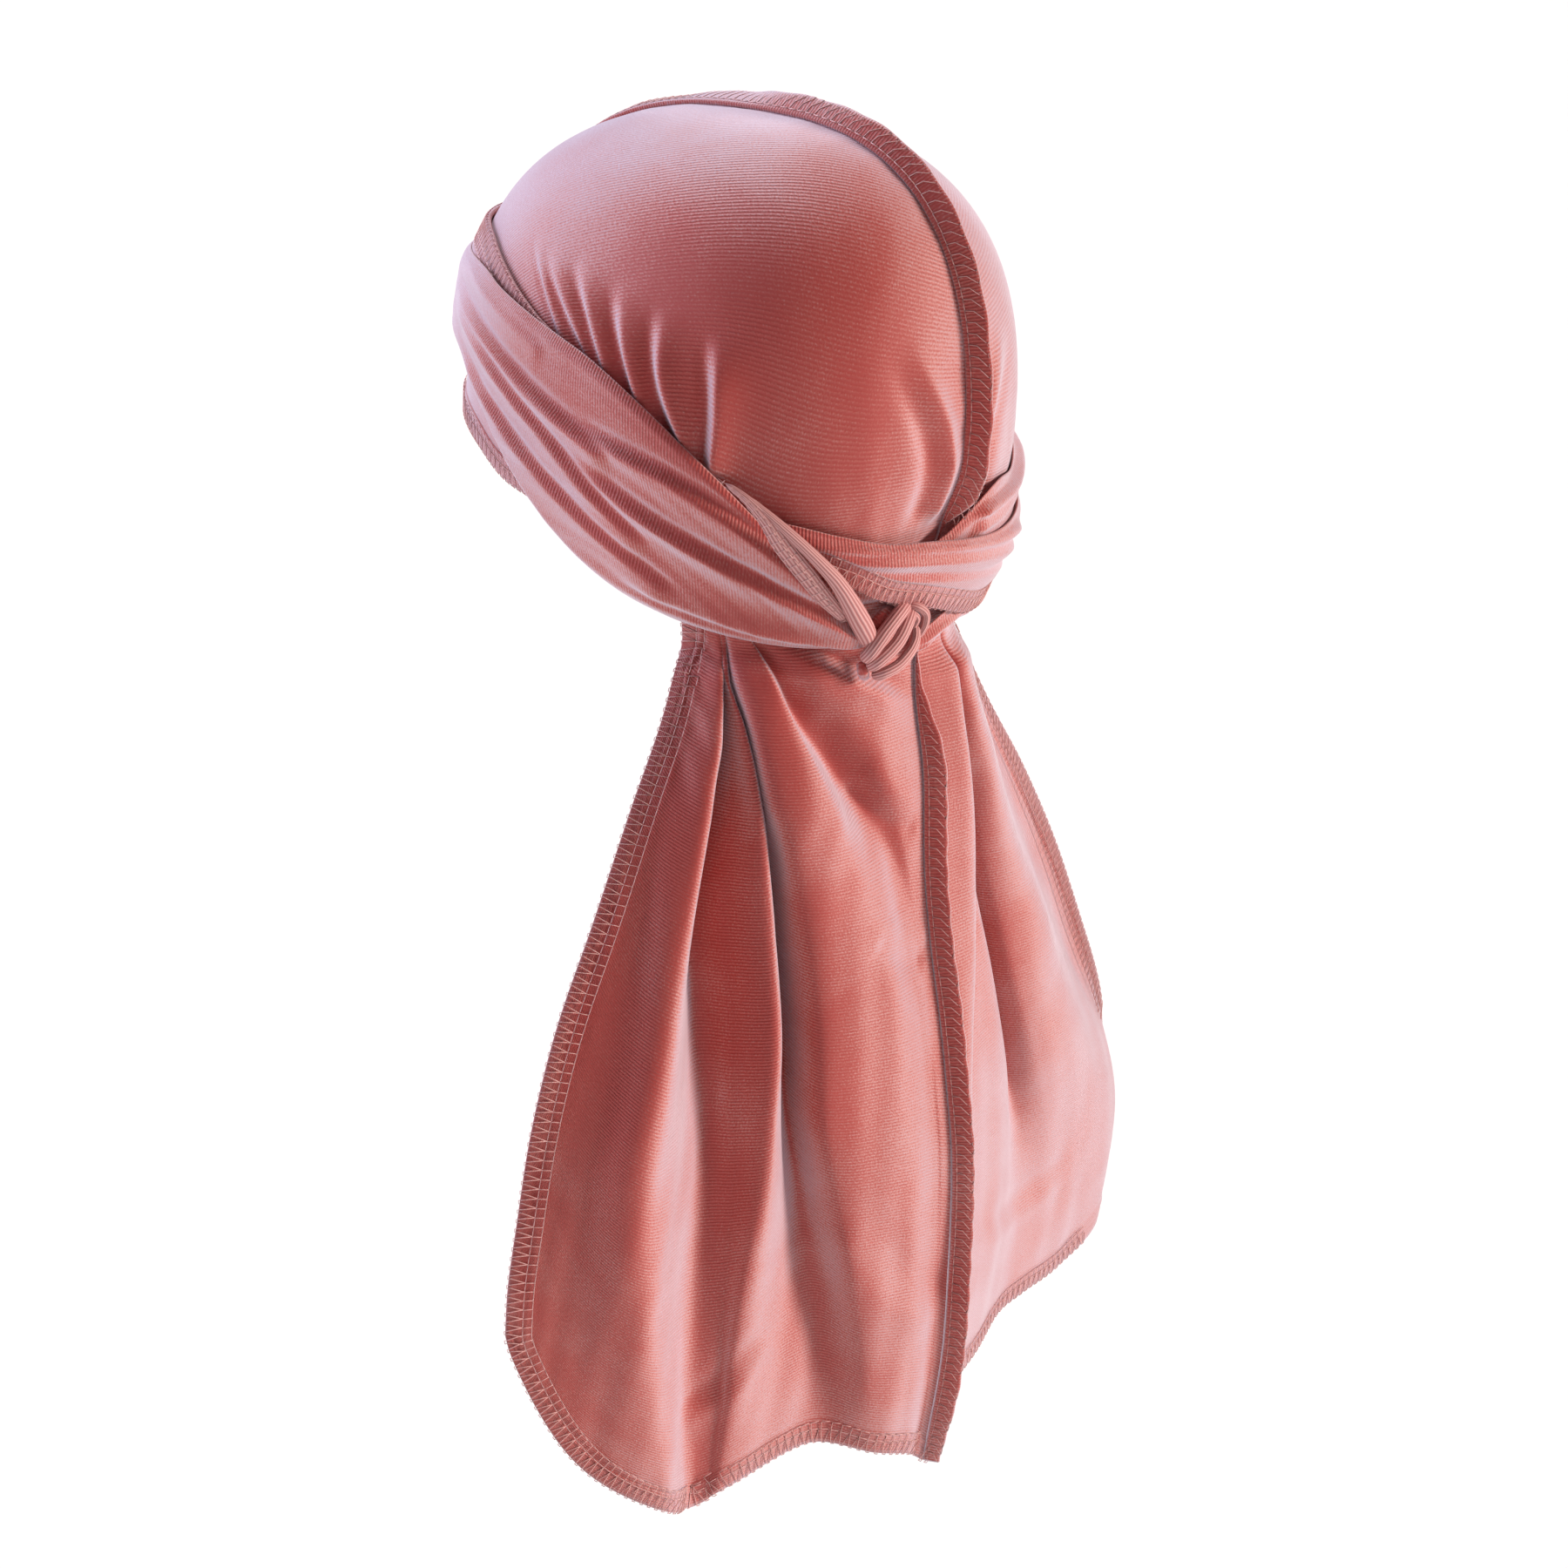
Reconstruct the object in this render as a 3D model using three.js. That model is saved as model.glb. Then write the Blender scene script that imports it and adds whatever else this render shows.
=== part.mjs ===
// Velvet durag as it is worn: two crown panels joined by a raised centre seam, a front hem, two
// long straps that go once and a quarter round the head, a knot at the nape and a two-part tail.
// Millimetres, +Z up. The wearer faces -Y and the wearer's left is +X. The origin is the centre
// of the head at its widest level, so the head fills the hollow and nothing of it is modelled.
import * as THREE from 'three';

// ---------------------------------------------------------------- driving sizes
const HEAD_HALF_WIDTH = 76;
const HEAD_BACK = 93.5;       // centre to the back of the head
const HEAD_FRONT = 99;        // centre to the forehead
const HEAD_TOP = 87;          // centre to the top of the head
const HEAD_SQUARENESS = 2.2;  // 2 is an ellipse seen from above, more is fuller at its corners

const CLOTH = 1.2;            // wall of one layer of velvet
const LAYER = 1.9;            // one layer and the air up to the next one
const CLEAR = 0.4;            // air between two pieces that touch

const SEAM_HEIGHT = 8;        // how far a seam's raised edge stands up
const SEAM_THICK = 2.2;
const SEAM_LEAN = 32;         // degrees towards the wearer's right
const HEM_WIDTH = 8.5;
const HEM_THICK = 1.6;

const TAIL_TOP = -60;         // height where the tail starts, under the straps
const TAIL_SEAM_START = -98;  // its raised seam starts just below the knot
const TAIL_SEAM_END = -380;
const TAIL_SEAM_STAND = 1.4;  // the raised seam's foot stands this far off the tail

// ---------------------------------------------------------------- colours
const VELVET = 0xc9827c;
const VELVET_BACK = 0xdda79d;
const THREAD = 0xe3b0a6;

// ---------------------------------------------------------------- small tools
const radians = THREE.MathUtils.degToRad;
const clamp = THREE.MathUtils.clamp;
const vector = (x, y, z) => new THREE.Vector3(x, y, z);
const steps = (count) => Array.from({ length: count + 1 }, (_, i) => i / count);

// Smooth curve through the points (xs, ys), flat beyond both ends
function smooth(xs, ys, x) {
  const last = xs.length - 1;
  if (x <= xs[0]) return ys[0];
  if (x >= xs[last]) return ys[last];
  let k = 0;
  while (x > xs[k + 1]) k += 1;
  const slope = (i) => (ys[i + 1] - ys[i]) / (xs[i + 1] - xs[i]);
  const tangent = (i) => (i === 0 ? slope(0) : i === last ? slope(last - 1) : (slope(i - 1) + slope(i)) / 2);
  const width = xs[k + 1] - xs[k];
  const t = (x - xs[k]) / width;
  const a = (1 + 2 * t) * (1 - t) ** 2;
  const b = t * (1 - t) ** 2;
  const c = t * t * (3 - 2 * t);
  const d = t * t * (t - 1);
  return a * ys[k] + b * width * tangent(k) + c * ys[k + 1] + d * width * tangent(k + 1);
}

// A table's column as a function of its key column, whose values may rise or fall
function column(rows, key, name) {
  const sorted = [...rows].sort((p, q) => p[key] - q[key]);
  const xs = sorted.map((row) => row[key]);
  const ys = sorted.map((row) => row[name]);
  return (x) => smooth(xs, ys, x);
}

// 1 in the middle of a bump and 0 beyond its half width
function bump(distance, halfWidth) {
  const t = Math.abs(distance) / halfWidth;
  return t >= 1 ? 0 : Math.cos((t * Math.PI) / 2) ** 2;
}

// 0 before `from`, 1 after `to`, smooth between
function ramp(x, from, to) {
  const t = clamp((x - from) / (to - from), 0, 1);
  return t * t * (3 - 2 * t);
}

// ---------------------------------------------------------------- the head's form
// Exponents of the dome's profile above the widest level, seen to the side, the back and the front
const DOME = {
  side: { rise: 2.2, round: 2.0 },
  back: { rise: 2.45, round: 2.9 },
  front: { rise: 2.8, round: 2.3 },
};

// Share of each half axis that is left below the widest level
const LOWER_HEAD = [
  { z: 0, side: 1, back: 1, front: 1 },
  { z: -20, side: 0.995, back: 0.98, front: 1.03 },
  { z: -40, side: 0.945, back: 0.93, front: 1.02 },
  { z: -60, side: 0.875, back: 0.84, front: 0.98 },
  { z: -80, side: 0.8, back: 0.74, front: 0.93 },
  { z: -100, side: 0.74, back: 0.66, front: 0.9 },
];

function share(z, way) {
  if (z < 0) return column(LOWER_HEAD, 'z', way)(z);
  const { rise, round } = DOME[way];
  return Math.max(1 - (z / HEAD_TOP) ** rise, 0) ** (1 / round);
}

// Radius of the head's outline at a height. Azimuth 0 is the back and 90 the wearer's left
function ringRadius(azimuth, z) {
  const sine = Math.abs(Math.sin(azimuth));
  const cosine = Math.cos(azimuth);
  const half = HEAD_HALF_WIDTH * share(z, 'side');
  const reach = cosine > 0 ? HEAD_BACK * share(z, 'back') : HEAD_FRONT * share(z, 'front');
  if (half <= 0 || reach <= 0) return 0;
  const n = HEAD_SQUARENESS;
  return ((sine / half) ** n + (Math.abs(cosine) / reach) ** n) ** (-1 / n);
}

// Point where a ray from the origin leaves the head
function headAlong(direction) {
  const azimuth = Math.atan2(direction.x, direction.y);
  const flat = Math.hypot(direction.x, direction.y);
  let inside = 0;
  let outside = 160;
  for (let i = 0; i < 40; i += 1) {
    const middle = (inside + outside) / 2;
    const z = middle * direction.z;
    const isIn = z < HEAD_TOP && middle * flat < ringRadius(azimuth, z);
    if (isIn) inside = middle;
    else outside = middle;
  }
  return direction.clone().multiplyScalar(inside);
}

// Outward normal of the head along a ray
function headNormal(direction) {
  const helper = Math.abs(direction.z) > 0.9 ? vector(0, 1, 0) : vector(0, 0, 1);
  const side = helper.cross(direction).normalize().multiplyScalar(0.02);
  const up = direction.clone().cross(side).normalize().multiplyScalar(0.02);
  const shifted = (shift, sign) => headAlong(direction.clone().addScaledVector(shift, sign).normalize());
  const across = shifted(side, 1).sub(shifted(side, -1));
  const along = shifted(up, 1).sub(shifted(up, -1));
  return across.cross(along).normalize();
}

function lifted(direction, lift) {
  return headAlong(direction).addScaledVector(headNormal(direction), lift);
}

// Direction of a place on the head, from its azimuth in degrees and its height
function towards(azimuth, z) {
  const angle = radians(azimuth);
  const radius = ringRadius(angle, z);
  return vector(radius * Math.sin(angle), radius * Math.cos(angle), z).normalize();
}

// ---------------------------------------------------------------- closed meshes
// Triangle list to a geometry whose faces point outwards
function solid(points, triangles) {
  let volume = 0;
  for (const [a, b, c] of triangles) {
    volume += points[a].dot(points[b].clone().cross(points[c])) / 6;
  }
  const faces = volume < 0 ? triangles.map(([a, b, c]) => [a, c, b]) : triangles;
  const geometry = new THREE.BufferGeometry();
  geometry.setAttribute('position', new THREE.Float32BufferAttribute(points.flatMap((p) => p.toArray()), 3));
  geometry.setIndex(faces.flat());
  geometry.computeVertexNormals();
  return geometry;
}

// Wall between two grids of points, closed along its four edges
function wall(outer, inner) {
  const rows = outer.length;
  const columns = outer[0].length;
  const points = [...outer.flat(), ...inner.flat()];
  const out = (i, j) => i * columns + j;
  const back = (i, j) => rows * columns + i * columns + j;
  const triangles = [];
  const quad = (a, b, c, d) => triangles.push([a, b, c], [a, c, d]);
  for (let i = 0; i + 1 < rows; i += 1) {
    for (let j = 0; j + 1 < columns; j += 1) {
      quad(out(i, j), out(i + 1, j), out(i + 1, j + 1), out(i, j + 1));
      quad(back(i, j), back(i, j + 1), back(i + 1, j + 1), back(i + 1, j));
    }
    quad(out(i + 1, 0), out(i, 0), back(i, 0), back(i + 1, 0));
    quad(out(i, columns - 1), out(i + 1, columns - 1), back(i + 1, columns - 1), back(i, columns - 1));
  }
  for (let j = 0; j + 1 < columns; j += 1) {
    quad(out(0, j), out(0, j + 1), back(0, j + 1), back(0, j));
    quad(out(rows - 1, j + 1), out(rows - 1, j), back(rows - 1, j), back(rows - 1, j + 1));
  }
  return solid(points, triangles);
}

// Rod through rings of points, closed by a fan at both ends
function rod(rings) {
  const sides = rings[0].length;
  const middle = (ring) => ring.reduce((sum, p) => sum.add(p), vector(0, 0, 0)).divideScalar(sides);
  const points = [...rings.flat(), middle(rings[0]), middle(rings.at(-1))];
  const first = points.length - 2;
  const last = points.length - 1;
  const triangles = [];
  const at = (i, j) => i * sides + (j % sides);
  for (let j = 0; j < sides; j += 1) {
    for (let i = 0; i + 1 < rings.length; i += 1) {
      triangles.push([at(i, j), at(i + 1, j), at(i + 1, j + 1)], [at(i, j), at(i + 1, j + 1), at(i, j + 1)]);
    }
    triangles.push([first, at(0, j), at(0, j + 1)]);
    triangles.push([last, at(rings.length - 1, j + 1), at(rings.length - 1, j)]);
  }
  return solid(points, triangles);
}

// Ring of an oval section: `out` is its thickness direction and `across` its width direction
function oval(centre, across, out, halfWidth, halfThick, sides) {
  return Array.from({ length: sides }, (_, k) => {
    const angle = (2 * Math.PI * k) / sides;
    return centre.clone()
      .addScaledVector(across, halfWidth * Math.cos(angle))
      .addScaledVector(out, halfThick * Math.sin(angle));
  });
}

// ---------------------------------------------------------------- crown
const SEAM_FRONT = -5;        // height of the crown's front edge at the seam, above the hem
const SEAM_NAPE = -47;        // height of its nape edge at the seam
const SEAM_HALF_GAP = 0.35;   // each panel ends this far from the middle

// Lower edge of a panel from the middle of the forehead to the temple
const FRONT_EDGE = [
  { azimuth: 180, z: SEAM_FRONT },
  { azimuth: 150, z: -7 },
  { azimuth: 134, z: -12 },
  { azimuth: 122, z: -20 },
  { azimuth: 108, z: -24 },
];
// from the temple to behind the ear, under the straps
const SIDE_EDGE = [
  { azimuth: 108, z: -24 },
  { azimuth: 90, z: -29 },
  { azimuth: 70, z: -37 },
  { azimuth: 42, z: -46 },
];
// and from there to the middle of the nape
const NAPE_EDGE = [
  { azimuth: 42, z: -46 },
  { azimuth: 0, z: SEAM_NAPE },
];

// Pleats that fan up from the strap over the left side: foot, tip, height and half width
const PLEATS = [
  { footAzimuth: 99, footZ: 29, tipAzimuth: 120, tipZ: 56, height: 1.2, halfWidth: 6 },
  { footAzimuth: 86, footZ: 22, tipAzimuth: 106, tipZ: 55, height: 1.8, halfWidth: 7 },
  { footAzimuth: 74, footZ: 13, tipAzimuth: 92, tipZ: 51, height: 2.4, halfWidth: 7 },
  { footAzimuth: 65, footZ: 2, tipAzimuth: 80, tipZ: 45, height: 2.6, halfWidth: 7 },
  { footAzimuth: 58, footZ: -7, tipAzimuth: 68, tipZ: 38, height: 2.6, halfWidth: 7 },
  { footAzimuth: 52, footZ: -14, tipAzimuth: 58, tipZ: 24, height: 2.0, halfWidth: 7 },
];
const PLEAT_FADE = 7;         // a pleat flattens over this length at its foot, under the strap
const PLEAT_BOW = 1200;       // allows for the head's curve between a pleat's foot and its tip

function pleatHeight(point, pleats) {
  let height = 0;
  for (const pleat of pleats) {
    const foot = headAlong(towards(pleat.footAzimuth, pleat.footZ));
    const tip = headAlong(towards(pleat.tipAzimuth, pleat.tipZ));
    const line = tip.clone().sub(foot);
    const length = line.length();
    const along = point.clone().sub(foot).dot(line) / length;
    const nearest = foot.clone().addScaledVector(line, along / length);
    const aside = Math.sqrt(Math.max(point.distanceToSquared(nearest) - (length ** 2) / PLEAT_BOW, 0));
    const fade = ramp(along, -PLEAT_FADE, PLEAT_FADE / 2) * (1 - ramp(along, 0.35 * length, 1.05 * length));
    height += pleat.height * fade * bump(aside, pleat.halfWidth);
  }
  return height;
}

// The seam is drawn in towards the nape, where the straps gather it
const NAPE_DRAW = { depth: 4.5, azimuth: 24, from: -12, to: -38 };

function napeDraw(point) {
  const azimuth = THREE.MathUtils.radToDeg(Math.atan2(point.x, point.y));
  return NAPE_DRAW.depth * bump(azimuth, NAPE_DRAW.azimuth) * ramp(-point.z, -NAPE_DRAW.from, -NAPE_DRAW.to);
}

// Direction at a share of the way along an edge that is given as a table of places
function edgeDirection(rows, t) {
  const keys = rows.map((_, i) => i / (rows.length - 1));
  const azimuth = smooth(keys, rows.map((row) => row.azimuth), t);
  const z = smooth(keys, rows.map((row) => row.z), t);
  return towards(azimuth, z);
}

function seamDirection(t) {
  const start = towards(180, SEAM_FRONT);
  const end = towards(0, SEAM_NAPE);
  const from = Math.atan2(start.z, -start.y);
  const to = Math.atan2(end.z, -end.y) + 2 * Math.PI;
  const angle = from + (to - from) * t;
  return vector(0, -Math.cos(angle), Math.sin(angle));
}

// Direction inside a panel: u runs back along the seam and v from the seam down to the side
function panelDirection(u, v) {
  const seam = seamDirection(u);
  const side = edgeDirection(SIDE_EDGE, u);
  const front = edgeDirection(FRONT_EDGE, v);
  const nape = edgeDirection(NAPE_EDGE, 1 - v);
  const corners = vector(0, 0, 0)
    .addScaledVector(seamDirection(0), (1 - u) * (1 - v))
    .addScaledVector(edgeDirection(SIDE_EDGE, 0), (1 - u) * v)
    .addScaledVector(seamDirection(1), u * (1 - v))
    .addScaledVector(edgeDirection(SIDE_EDGE, 1), u * v);
  return seam.multiplyScalar(1 - v).addScaledVector(side, v)
    .addScaledVector(front, 1 - u).addScaledVector(nape, u)
    .sub(corners).normalize();
}

// hand is 1 for the wearer's left and -1 for the right
function crownPanel(hand, rows, columns, pleats) {
  const outer = [];
  const inner = [];
  for (const u of steps(rows)) {
    const outerRow = [];
    const innerRow = [];
    for (const v of steps(columns)) {
      const direction = panelDirection(u, v);
      const point = headAlong(direction);
      const relief = pleatHeight(point, pleats) - napeDraw(point);
      for (const [row, lift] of [[outerRow, relief + CLOTH], [innerRow, relief]]) {
        const place = lifted(direction, lift);
        place.x = hand * Math.max(place.x, SEAM_HALF_GAP);
        row.push(place);
      }
    }
    outer.push(outerRow);
    inner.push(innerRow);
  }
  return wall(outer, inner);
}

// ---------------------------------------------------------------- raised seams and front hem
// Flat strip that stands on a path: `rise` is its direction up and `beside` its thickness direction
function strip(stations) {
  return rod(stations.map(({ foot, rise, beside, height, thick }) => {
    const top = foot.clone().addScaledVector(rise, height);
    const half = thick / 2;
    return [
      foot.clone().addScaledVector(beside, -half),
      foot.clone().addScaledVector(beside, half),
      top.clone().addScaledVector(beside, half),
      top.clone().addScaledVector(beside, -half),
    ];
  }));
}

// Lean of the crown's seam in degrees towards the right, by the share of the way along it
const CROWN_SEAM_LEAN = [
  { t: 0.24, lean: 88 },
  { t: 0.38, lean: 78 },
  { t: 0.46, lean: 58 },
  { t: 0.56, lean: 42 },
  { t: 0.7, lean: 32 },
  { t: 0.85, lean: 26 },
  { t: 1, lean: 30 },
];
const CROWN_SEAM_START = 0.245; // above the straps on the forehead
const CROWN_SEAM_END = 0.955;   // where the straps cross it at the nape

function crownSeam() {
  const leanAt = column(CROWN_SEAM_LEAN, 't', 'lean');
  const right = vector(-1, 0, 0);
  return strip(steps(36).map((share) => {
    const t = CROWN_SEAM_START + (CROWN_SEAM_END - CROWN_SEAM_START) * share;
    const lean = radians(leanAt(t));
    const direction = seamDirection(t);
    const normal = headNormal(direction);
    const draw = napeDraw(headAlong(direction));
    const tangent = normal.clone().cross(right).normalize();
    const rise = normal.clone().multiplyScalar(Math.cos(lean)).addScaledVector(right, Math.sin(lean));
    const beside = rise.clone().cross(tangent).normalize();
    const base = CLOTH + CLEAR + (SEAM_THICK / 2) * Math.sin(lean) - draw;
    const height = SEAM_HEIGHT * (0.35 + 0.65 * ramp(share, 0, 0.06)) * (1 - 0.4 * ramp(share, 0.92, 1));
    return { foot: lifted(direction, base), rise, beside, height, thick: SEAM_THICK };
  }));
}

function frontHem() {
  const stations = [];
  for (const t of steps(36)) {
    const hand = t < 0.5 ? -1 : 1;
    const share = 1 - Math.abs(2 * t - 1);
    const keys = FRONT_EDGE.map((row) => 180 - row.azimuth);
    const azimuth = 180 - (1 - share) * keys.at(-1);
    const z = smooth(keys, FRONT_EDGE.map((row) => row.z), 180 - azimuth) - CLEAR;
    const place = (height) => {
      const point = lifted(towards(azimuth, height), 0);
      return vector(hand * point.x, point.y, point.z);
    };
    const upper = place(z);
    const lower = place(z - HEM_WIDTH);
    const normal = headNormal(towards(azimuth, z - HEM_WIDTH / 2));
    normal.x *= hand;
    stations.push({
      foot: lower.addScaledVector(normal, HEM_THICK / 2),
      rise: upper.clone().sub(place(z - HEM_WIDTH)).normalize(),
      beside: normal,
      height: HEM_WIDTH,
      thick: HEM_THICK,
    });
  }
  return strip(stations);
}

// ---------------------------------------------------------------- straps
// Each strap starts at its own temple, goes back round the nape, up the other side, across the
// forehead and down its own side to the knot. `turn` is the azimuth on its own side in degrees and
// falls all the way; top and bottom are its edges; lift is the air under it.
const LEFT_STRAP = [
  { turn: 106, top: -8, bottom: -30, lift: 2 * LAYER },
  { turn: 90, top: -6, bottom: -37, lift: 2 * LAYER },
  { turn: 70, top: -15, bottom: -44, lift: 2 * LAYER },
  { turn: 54, top: -22, bottom: -42, lift: 2 * LAYER },
  { turn: 38, top: -27, bottom: -41, lift: 2 * LAYER },
  { turn: 28, top: -31.5, bottom: -46, lift: 2 * LAYER },
  { turn: 18, top: -35.5, bottom: -54, lift: 2 * LAYER },
  { turn: 8, top: -37, bottom: -58.5, lift: 2.2 * LAYER },
  { turn: -2, top: -38.5, bottom: -62.5, lift: 3 * LAYER },
  { turn: -13, top: -39.5, bottom: -67, lift: 3.6 * LAYER },
  { turn: -26, top: -38, bottom: -68, lift: 3.8 * LAYER },
  { turn: -45, top: -32, bottom: -67, lift: 3.4 * LAYER },
  { turn: -65, top: -18, bottom: -60, lift: 3 * LAYER },
  { turn: -85, top: 2, bottom: -48, lift: 3 * LAYER },
  { turn: -105, top: 20, bottom: -28, lift: 3 * LAYER },
  { turn: -125, top: 31, bottom: -6, lift: 3 * LAYER },
  { turn: -150, top: 37, bottom: 10, lift: 2.6 * LAYER },
  { turn: -180, top: 38, bottom: 15, lift: 2.3 * LAYER },
  { turn: -208, top: 38, bottom: 14, lift: 2.3 * LAYER },
  { turn: -229, top: 36.5, bottom: 5, lift: 2.6 * LAYER },
  { turn: -239, top: 33, bottom: -7, lift: 2.8 * LAYER },
  { turn: -248, top: 30, bottom: -21, lift: 3 * LAYER },
  { turn: -256, top: 27, bottom: -33, lift: 3 * LAYER },
  { turn: -264, top: 24, bottom: -43, lift: 3 * LAYER },
  { turn: -277, top: 18, bottom: -53, lift: 3 * LAYER },
  { turn: -292, top: 6, bottom: -60, lift: 3 * LAYER },
  { turn: -306, top: -11, bottom: -64.5, lift: 3 * LAYER },
  { turn: -316, top: -26, bottom: -67, lift: 3 * LAYER },
  { turn: -325, top: -42, bottom: -68.8, lift: 3 * LAYER },
  { turn: -333, top: -56, bottom: -69.6, lift: 3 * LAYER },
  { turn: -340, top: -63, bottom: -70, lift: 3 * LAYER },
  { turn: -344, top: -65, bottom: -70, lift: 3 * LAYER },
];
const RIGHT_STRAP = [
  { turn: 106, top: -8, bottom: -30, lift: LAYER },
  { turn: 80, top: -2, bottom: -34, lift: LAYER },
  { turn: 60, top: -8, bottom: -38, lift: LAYER },
  { turn: 40, top: -18, bottom: -42, lift: LAYER },
  { turn: 26, top: -25, bottom: -44, lift: LAYER },
  { turn: 14, top: -25, bottom: -46, lift: LAYER },
  { turn: 5, top: -31, bottom: -50, lift: LAYER },
  { turn: -3, top: -38, bottom: -54, lift: LAYER },
  { turn: -20, top: -44, bottom: -57, lift: LAYER },
  { turn: -50, top: -36, bottom: -56, lift: LAYER },
  { turn: -70, top: -22, bottom: -50, lift: LAYER },
  { turn: -84, top: 0, bottom: -44, lift: LAYER },
  { turn: -93, top: 15, bottom: -36, lift: LAYER },
  { turn: -99, top: 23, bottom: -28, lift: LAYER },
  { turn: -107, top: 28, bottom: -12, lift: LAYER },
  { turn: -116, top: 33.5, bottom: 2, lift: LAYER },
  { turn: -127, top: 40, bottom: 12, lift: LAYER },
  { turn: -140, top: 46, bottom: 18, lift: LAYER },
  { turn: -160, top: 48, bottom: 20, lift: LAYER },
  { turn: -180, top: 47, bottom: 20, lift: LAYER },
  { turn: -210, top: 43, bottom: 16, lift: LAYER },
  { turn: -228, top: 38, bottom: 8, lift: 1.4 * LAYER },
  { turn: -242, top: 33, bottom: -8, lift: 2 * LAYER },
  { turn: -256, top: 27, bottom: -31, lift: 2 * LAYER },
  { turn: -266, top: 22, bottom: -44, lift: 2 * LAYER },
  { turn: -278, top: 15, bottom: -53, lift: 2 * LAYER },
  { turn: -292, top: 4, bottom: -60, lift: 2 * LAYER },
  { turn: -306, top: -14, bottom: -65, lift: 2 * LAYER },
  { turn: -318, top: -34, bottom: -70, lift: 2 * LAYER },
  { turn: -328, top: -53, bottom: -75, lift: 2.3 * LAYER },
  { turn: -337, top: -59, bottom: -75, lift: 2.3 * LAYER },
  { turn: -345, top: -62, bottom: -72, lift: 2.3 * LAYER },
  { turn: -353, top: -65.5, bottom: -73.5, lift: 2.6 * LAYER },
  { turn: -360, top: -69, bottom: -76.5, lift: 3.1 * LAYER },
  { turn: -364, top: -71, bottom: -78.5, lift: 3.4 * LAYER },
];

// Folds along a strap: where each one starts and ends, its place from the top edge (0) to the
// bottom edge (1) at both ends, its height and its half width as a share of the strap
const LEFT_FOLDS = [
  { from: -212, to: -338, startAt: 0.16, endAt: 0.22, height: 2.0, halfWidth: 0.17 },
  { from: -212, to: -338, startAt: 0.5, endAt: 0.52, height: 2.2, halfWidth: 0.17 },
  { from: -212, to: -338, startAt: 0.84, endAt: 0.84, height: 2.0, halfWidth: 0.17 },
  { from: 40, to: -60, startAt: 0.18, endAt: 0.2, height: 2.0, halfWidth: 0.2 },
  { from: 40, to: -60, startAt: 0.6, endAt: 0.5, height: 1.8, halfWidth: 0.2 },
];
const RIGHT_FOLDS = [
  { from: 52, to: 4, startAt: 0.22, endAt: 0.22, height: 3.0, halfWidth: 0.22 },
  { from: 52, to: 4, startAt: 0.65, endAt: 0.65, height: 2.6, halfWidth: 0.22 },
];

function foldHeight(folds, turn, share) {
  let height = 0;
  for (const fold of folds) {
    const t = (turn - fold.from) / (fold.to - fold.from);
    const place = fold.startAt + (fold.endAt - fold.startAt) * clamp(t, 0, 1);
    const fade = ramp(t, 0, 0.15) * (1 - ramp(t, 0.9, 1));
    height += fold.height * fade * bump(share - place, fold.halfWidth);
  }
  return height;
}

function strap(hand, table, folds, spacing, columns) {
  const top = column(table, 'turn', 'top');
  const bottom = column(table, 'turn', 'bottom');
  const lift = column(table, 'turn', 'lift');
  const start = table[0].turn;
  const end = table.at(-1).turn;
  const outer = [];
  const inner = [];
  for (const t of steps(Math.round((start - end) / spacing))) {
    const turn = start + (end - start) * t;
    const outerRow = [];
    const innerRow = [];
    for (const share of steps(columns)) {
      const z = top(turn) + (bottom(turn) - top(turn)) * share;
      const direction = towards(hand * turn, z);
      innerRow.push(lifted(direction, lift(turn)));
      outerRow.push(lifted(direction, lift(turn) + CLOTH + foldHeight(folds, turn, share)));
    }
    outer.push(outerRow);
    inner.push(innerRow);
  }
  return wall(outer, inner);
}

// ---------------------------------------------------------------- rolled edge and knot
// The left strap's upper hem is rolled over and runs on top of the strap into the knot
const ROLL = [
  { azimuth: 52, z: -11.5, halfWidth: 1.2, halfThick: 1.0 },
  { azimuth: 44, z: -23, halfWidth: 2.6, halfThick: 1.6 },
  { azimuth: 38.5, z: -34, halfWidth: 3.6, halfThick: 2.0 },
  { azimuth: 32.5, z: -45, halfWidth: 4.3, halfThick: 2.3 },
  { azimuth: 26.5, z: -55.5, halfWidth: 4.4, halfThick: 2.4 },
  { azimuth: 22, z: -62, halfWidth: 3.6, halfThick: 2.2 },
];
const ROLL_STAND = 3 * LAYER + CLOTH + 2.4;   // over the strap and the folds in it

function rolledEdge() {
  const keys = ROLL.map((_, i) => i);
  const value = (name, t) => smooth(keys, ROLL.map((row) => row[name]), t);
  const centre = (t) => {
    const lift = ROLL_STAND + CLEAR + value('halfThick', t);
    return lifted(towards(value('azimuth', t), value('z', t)), lift);
  };
  return rod(steps(20).map((share) => {
    const t = share * (ROLL.length - 1);
    const out = headNormal(towards(value('azimuth', t), value('z', t)));
    const along = centre(t + 0.05).sub(centre(t - 0.05)).normalize();
    const across = along.clone().cross(out).normalize();
    return oval(centre(t), across, out, value('halfWidth', t), value('halfThick', t), 8);
  }));
}

// Knot at the nape, a little to the left of the seam. Its places are given from its centre:
// `left` towards the wearer's left along the nape, `up`, and `out` away from the head.
const KNOT_AZIMUTH = 13;
const KNOT_CENTRE = { out: 82.2, up: -69.5 };

function knotPlace(left, up, out) {
  const angle = radians(KNOT_AZIMUTH);
  const reach = KNOT_CENTRE.out + out;
  return vector(
    reach * Math.sin(angle) + left * Math.cos(angle),
    reach * Math.cos(angle) - left * Math.sin(angle),
    KNOT_CENTRE.up + up,
  );
}

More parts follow.
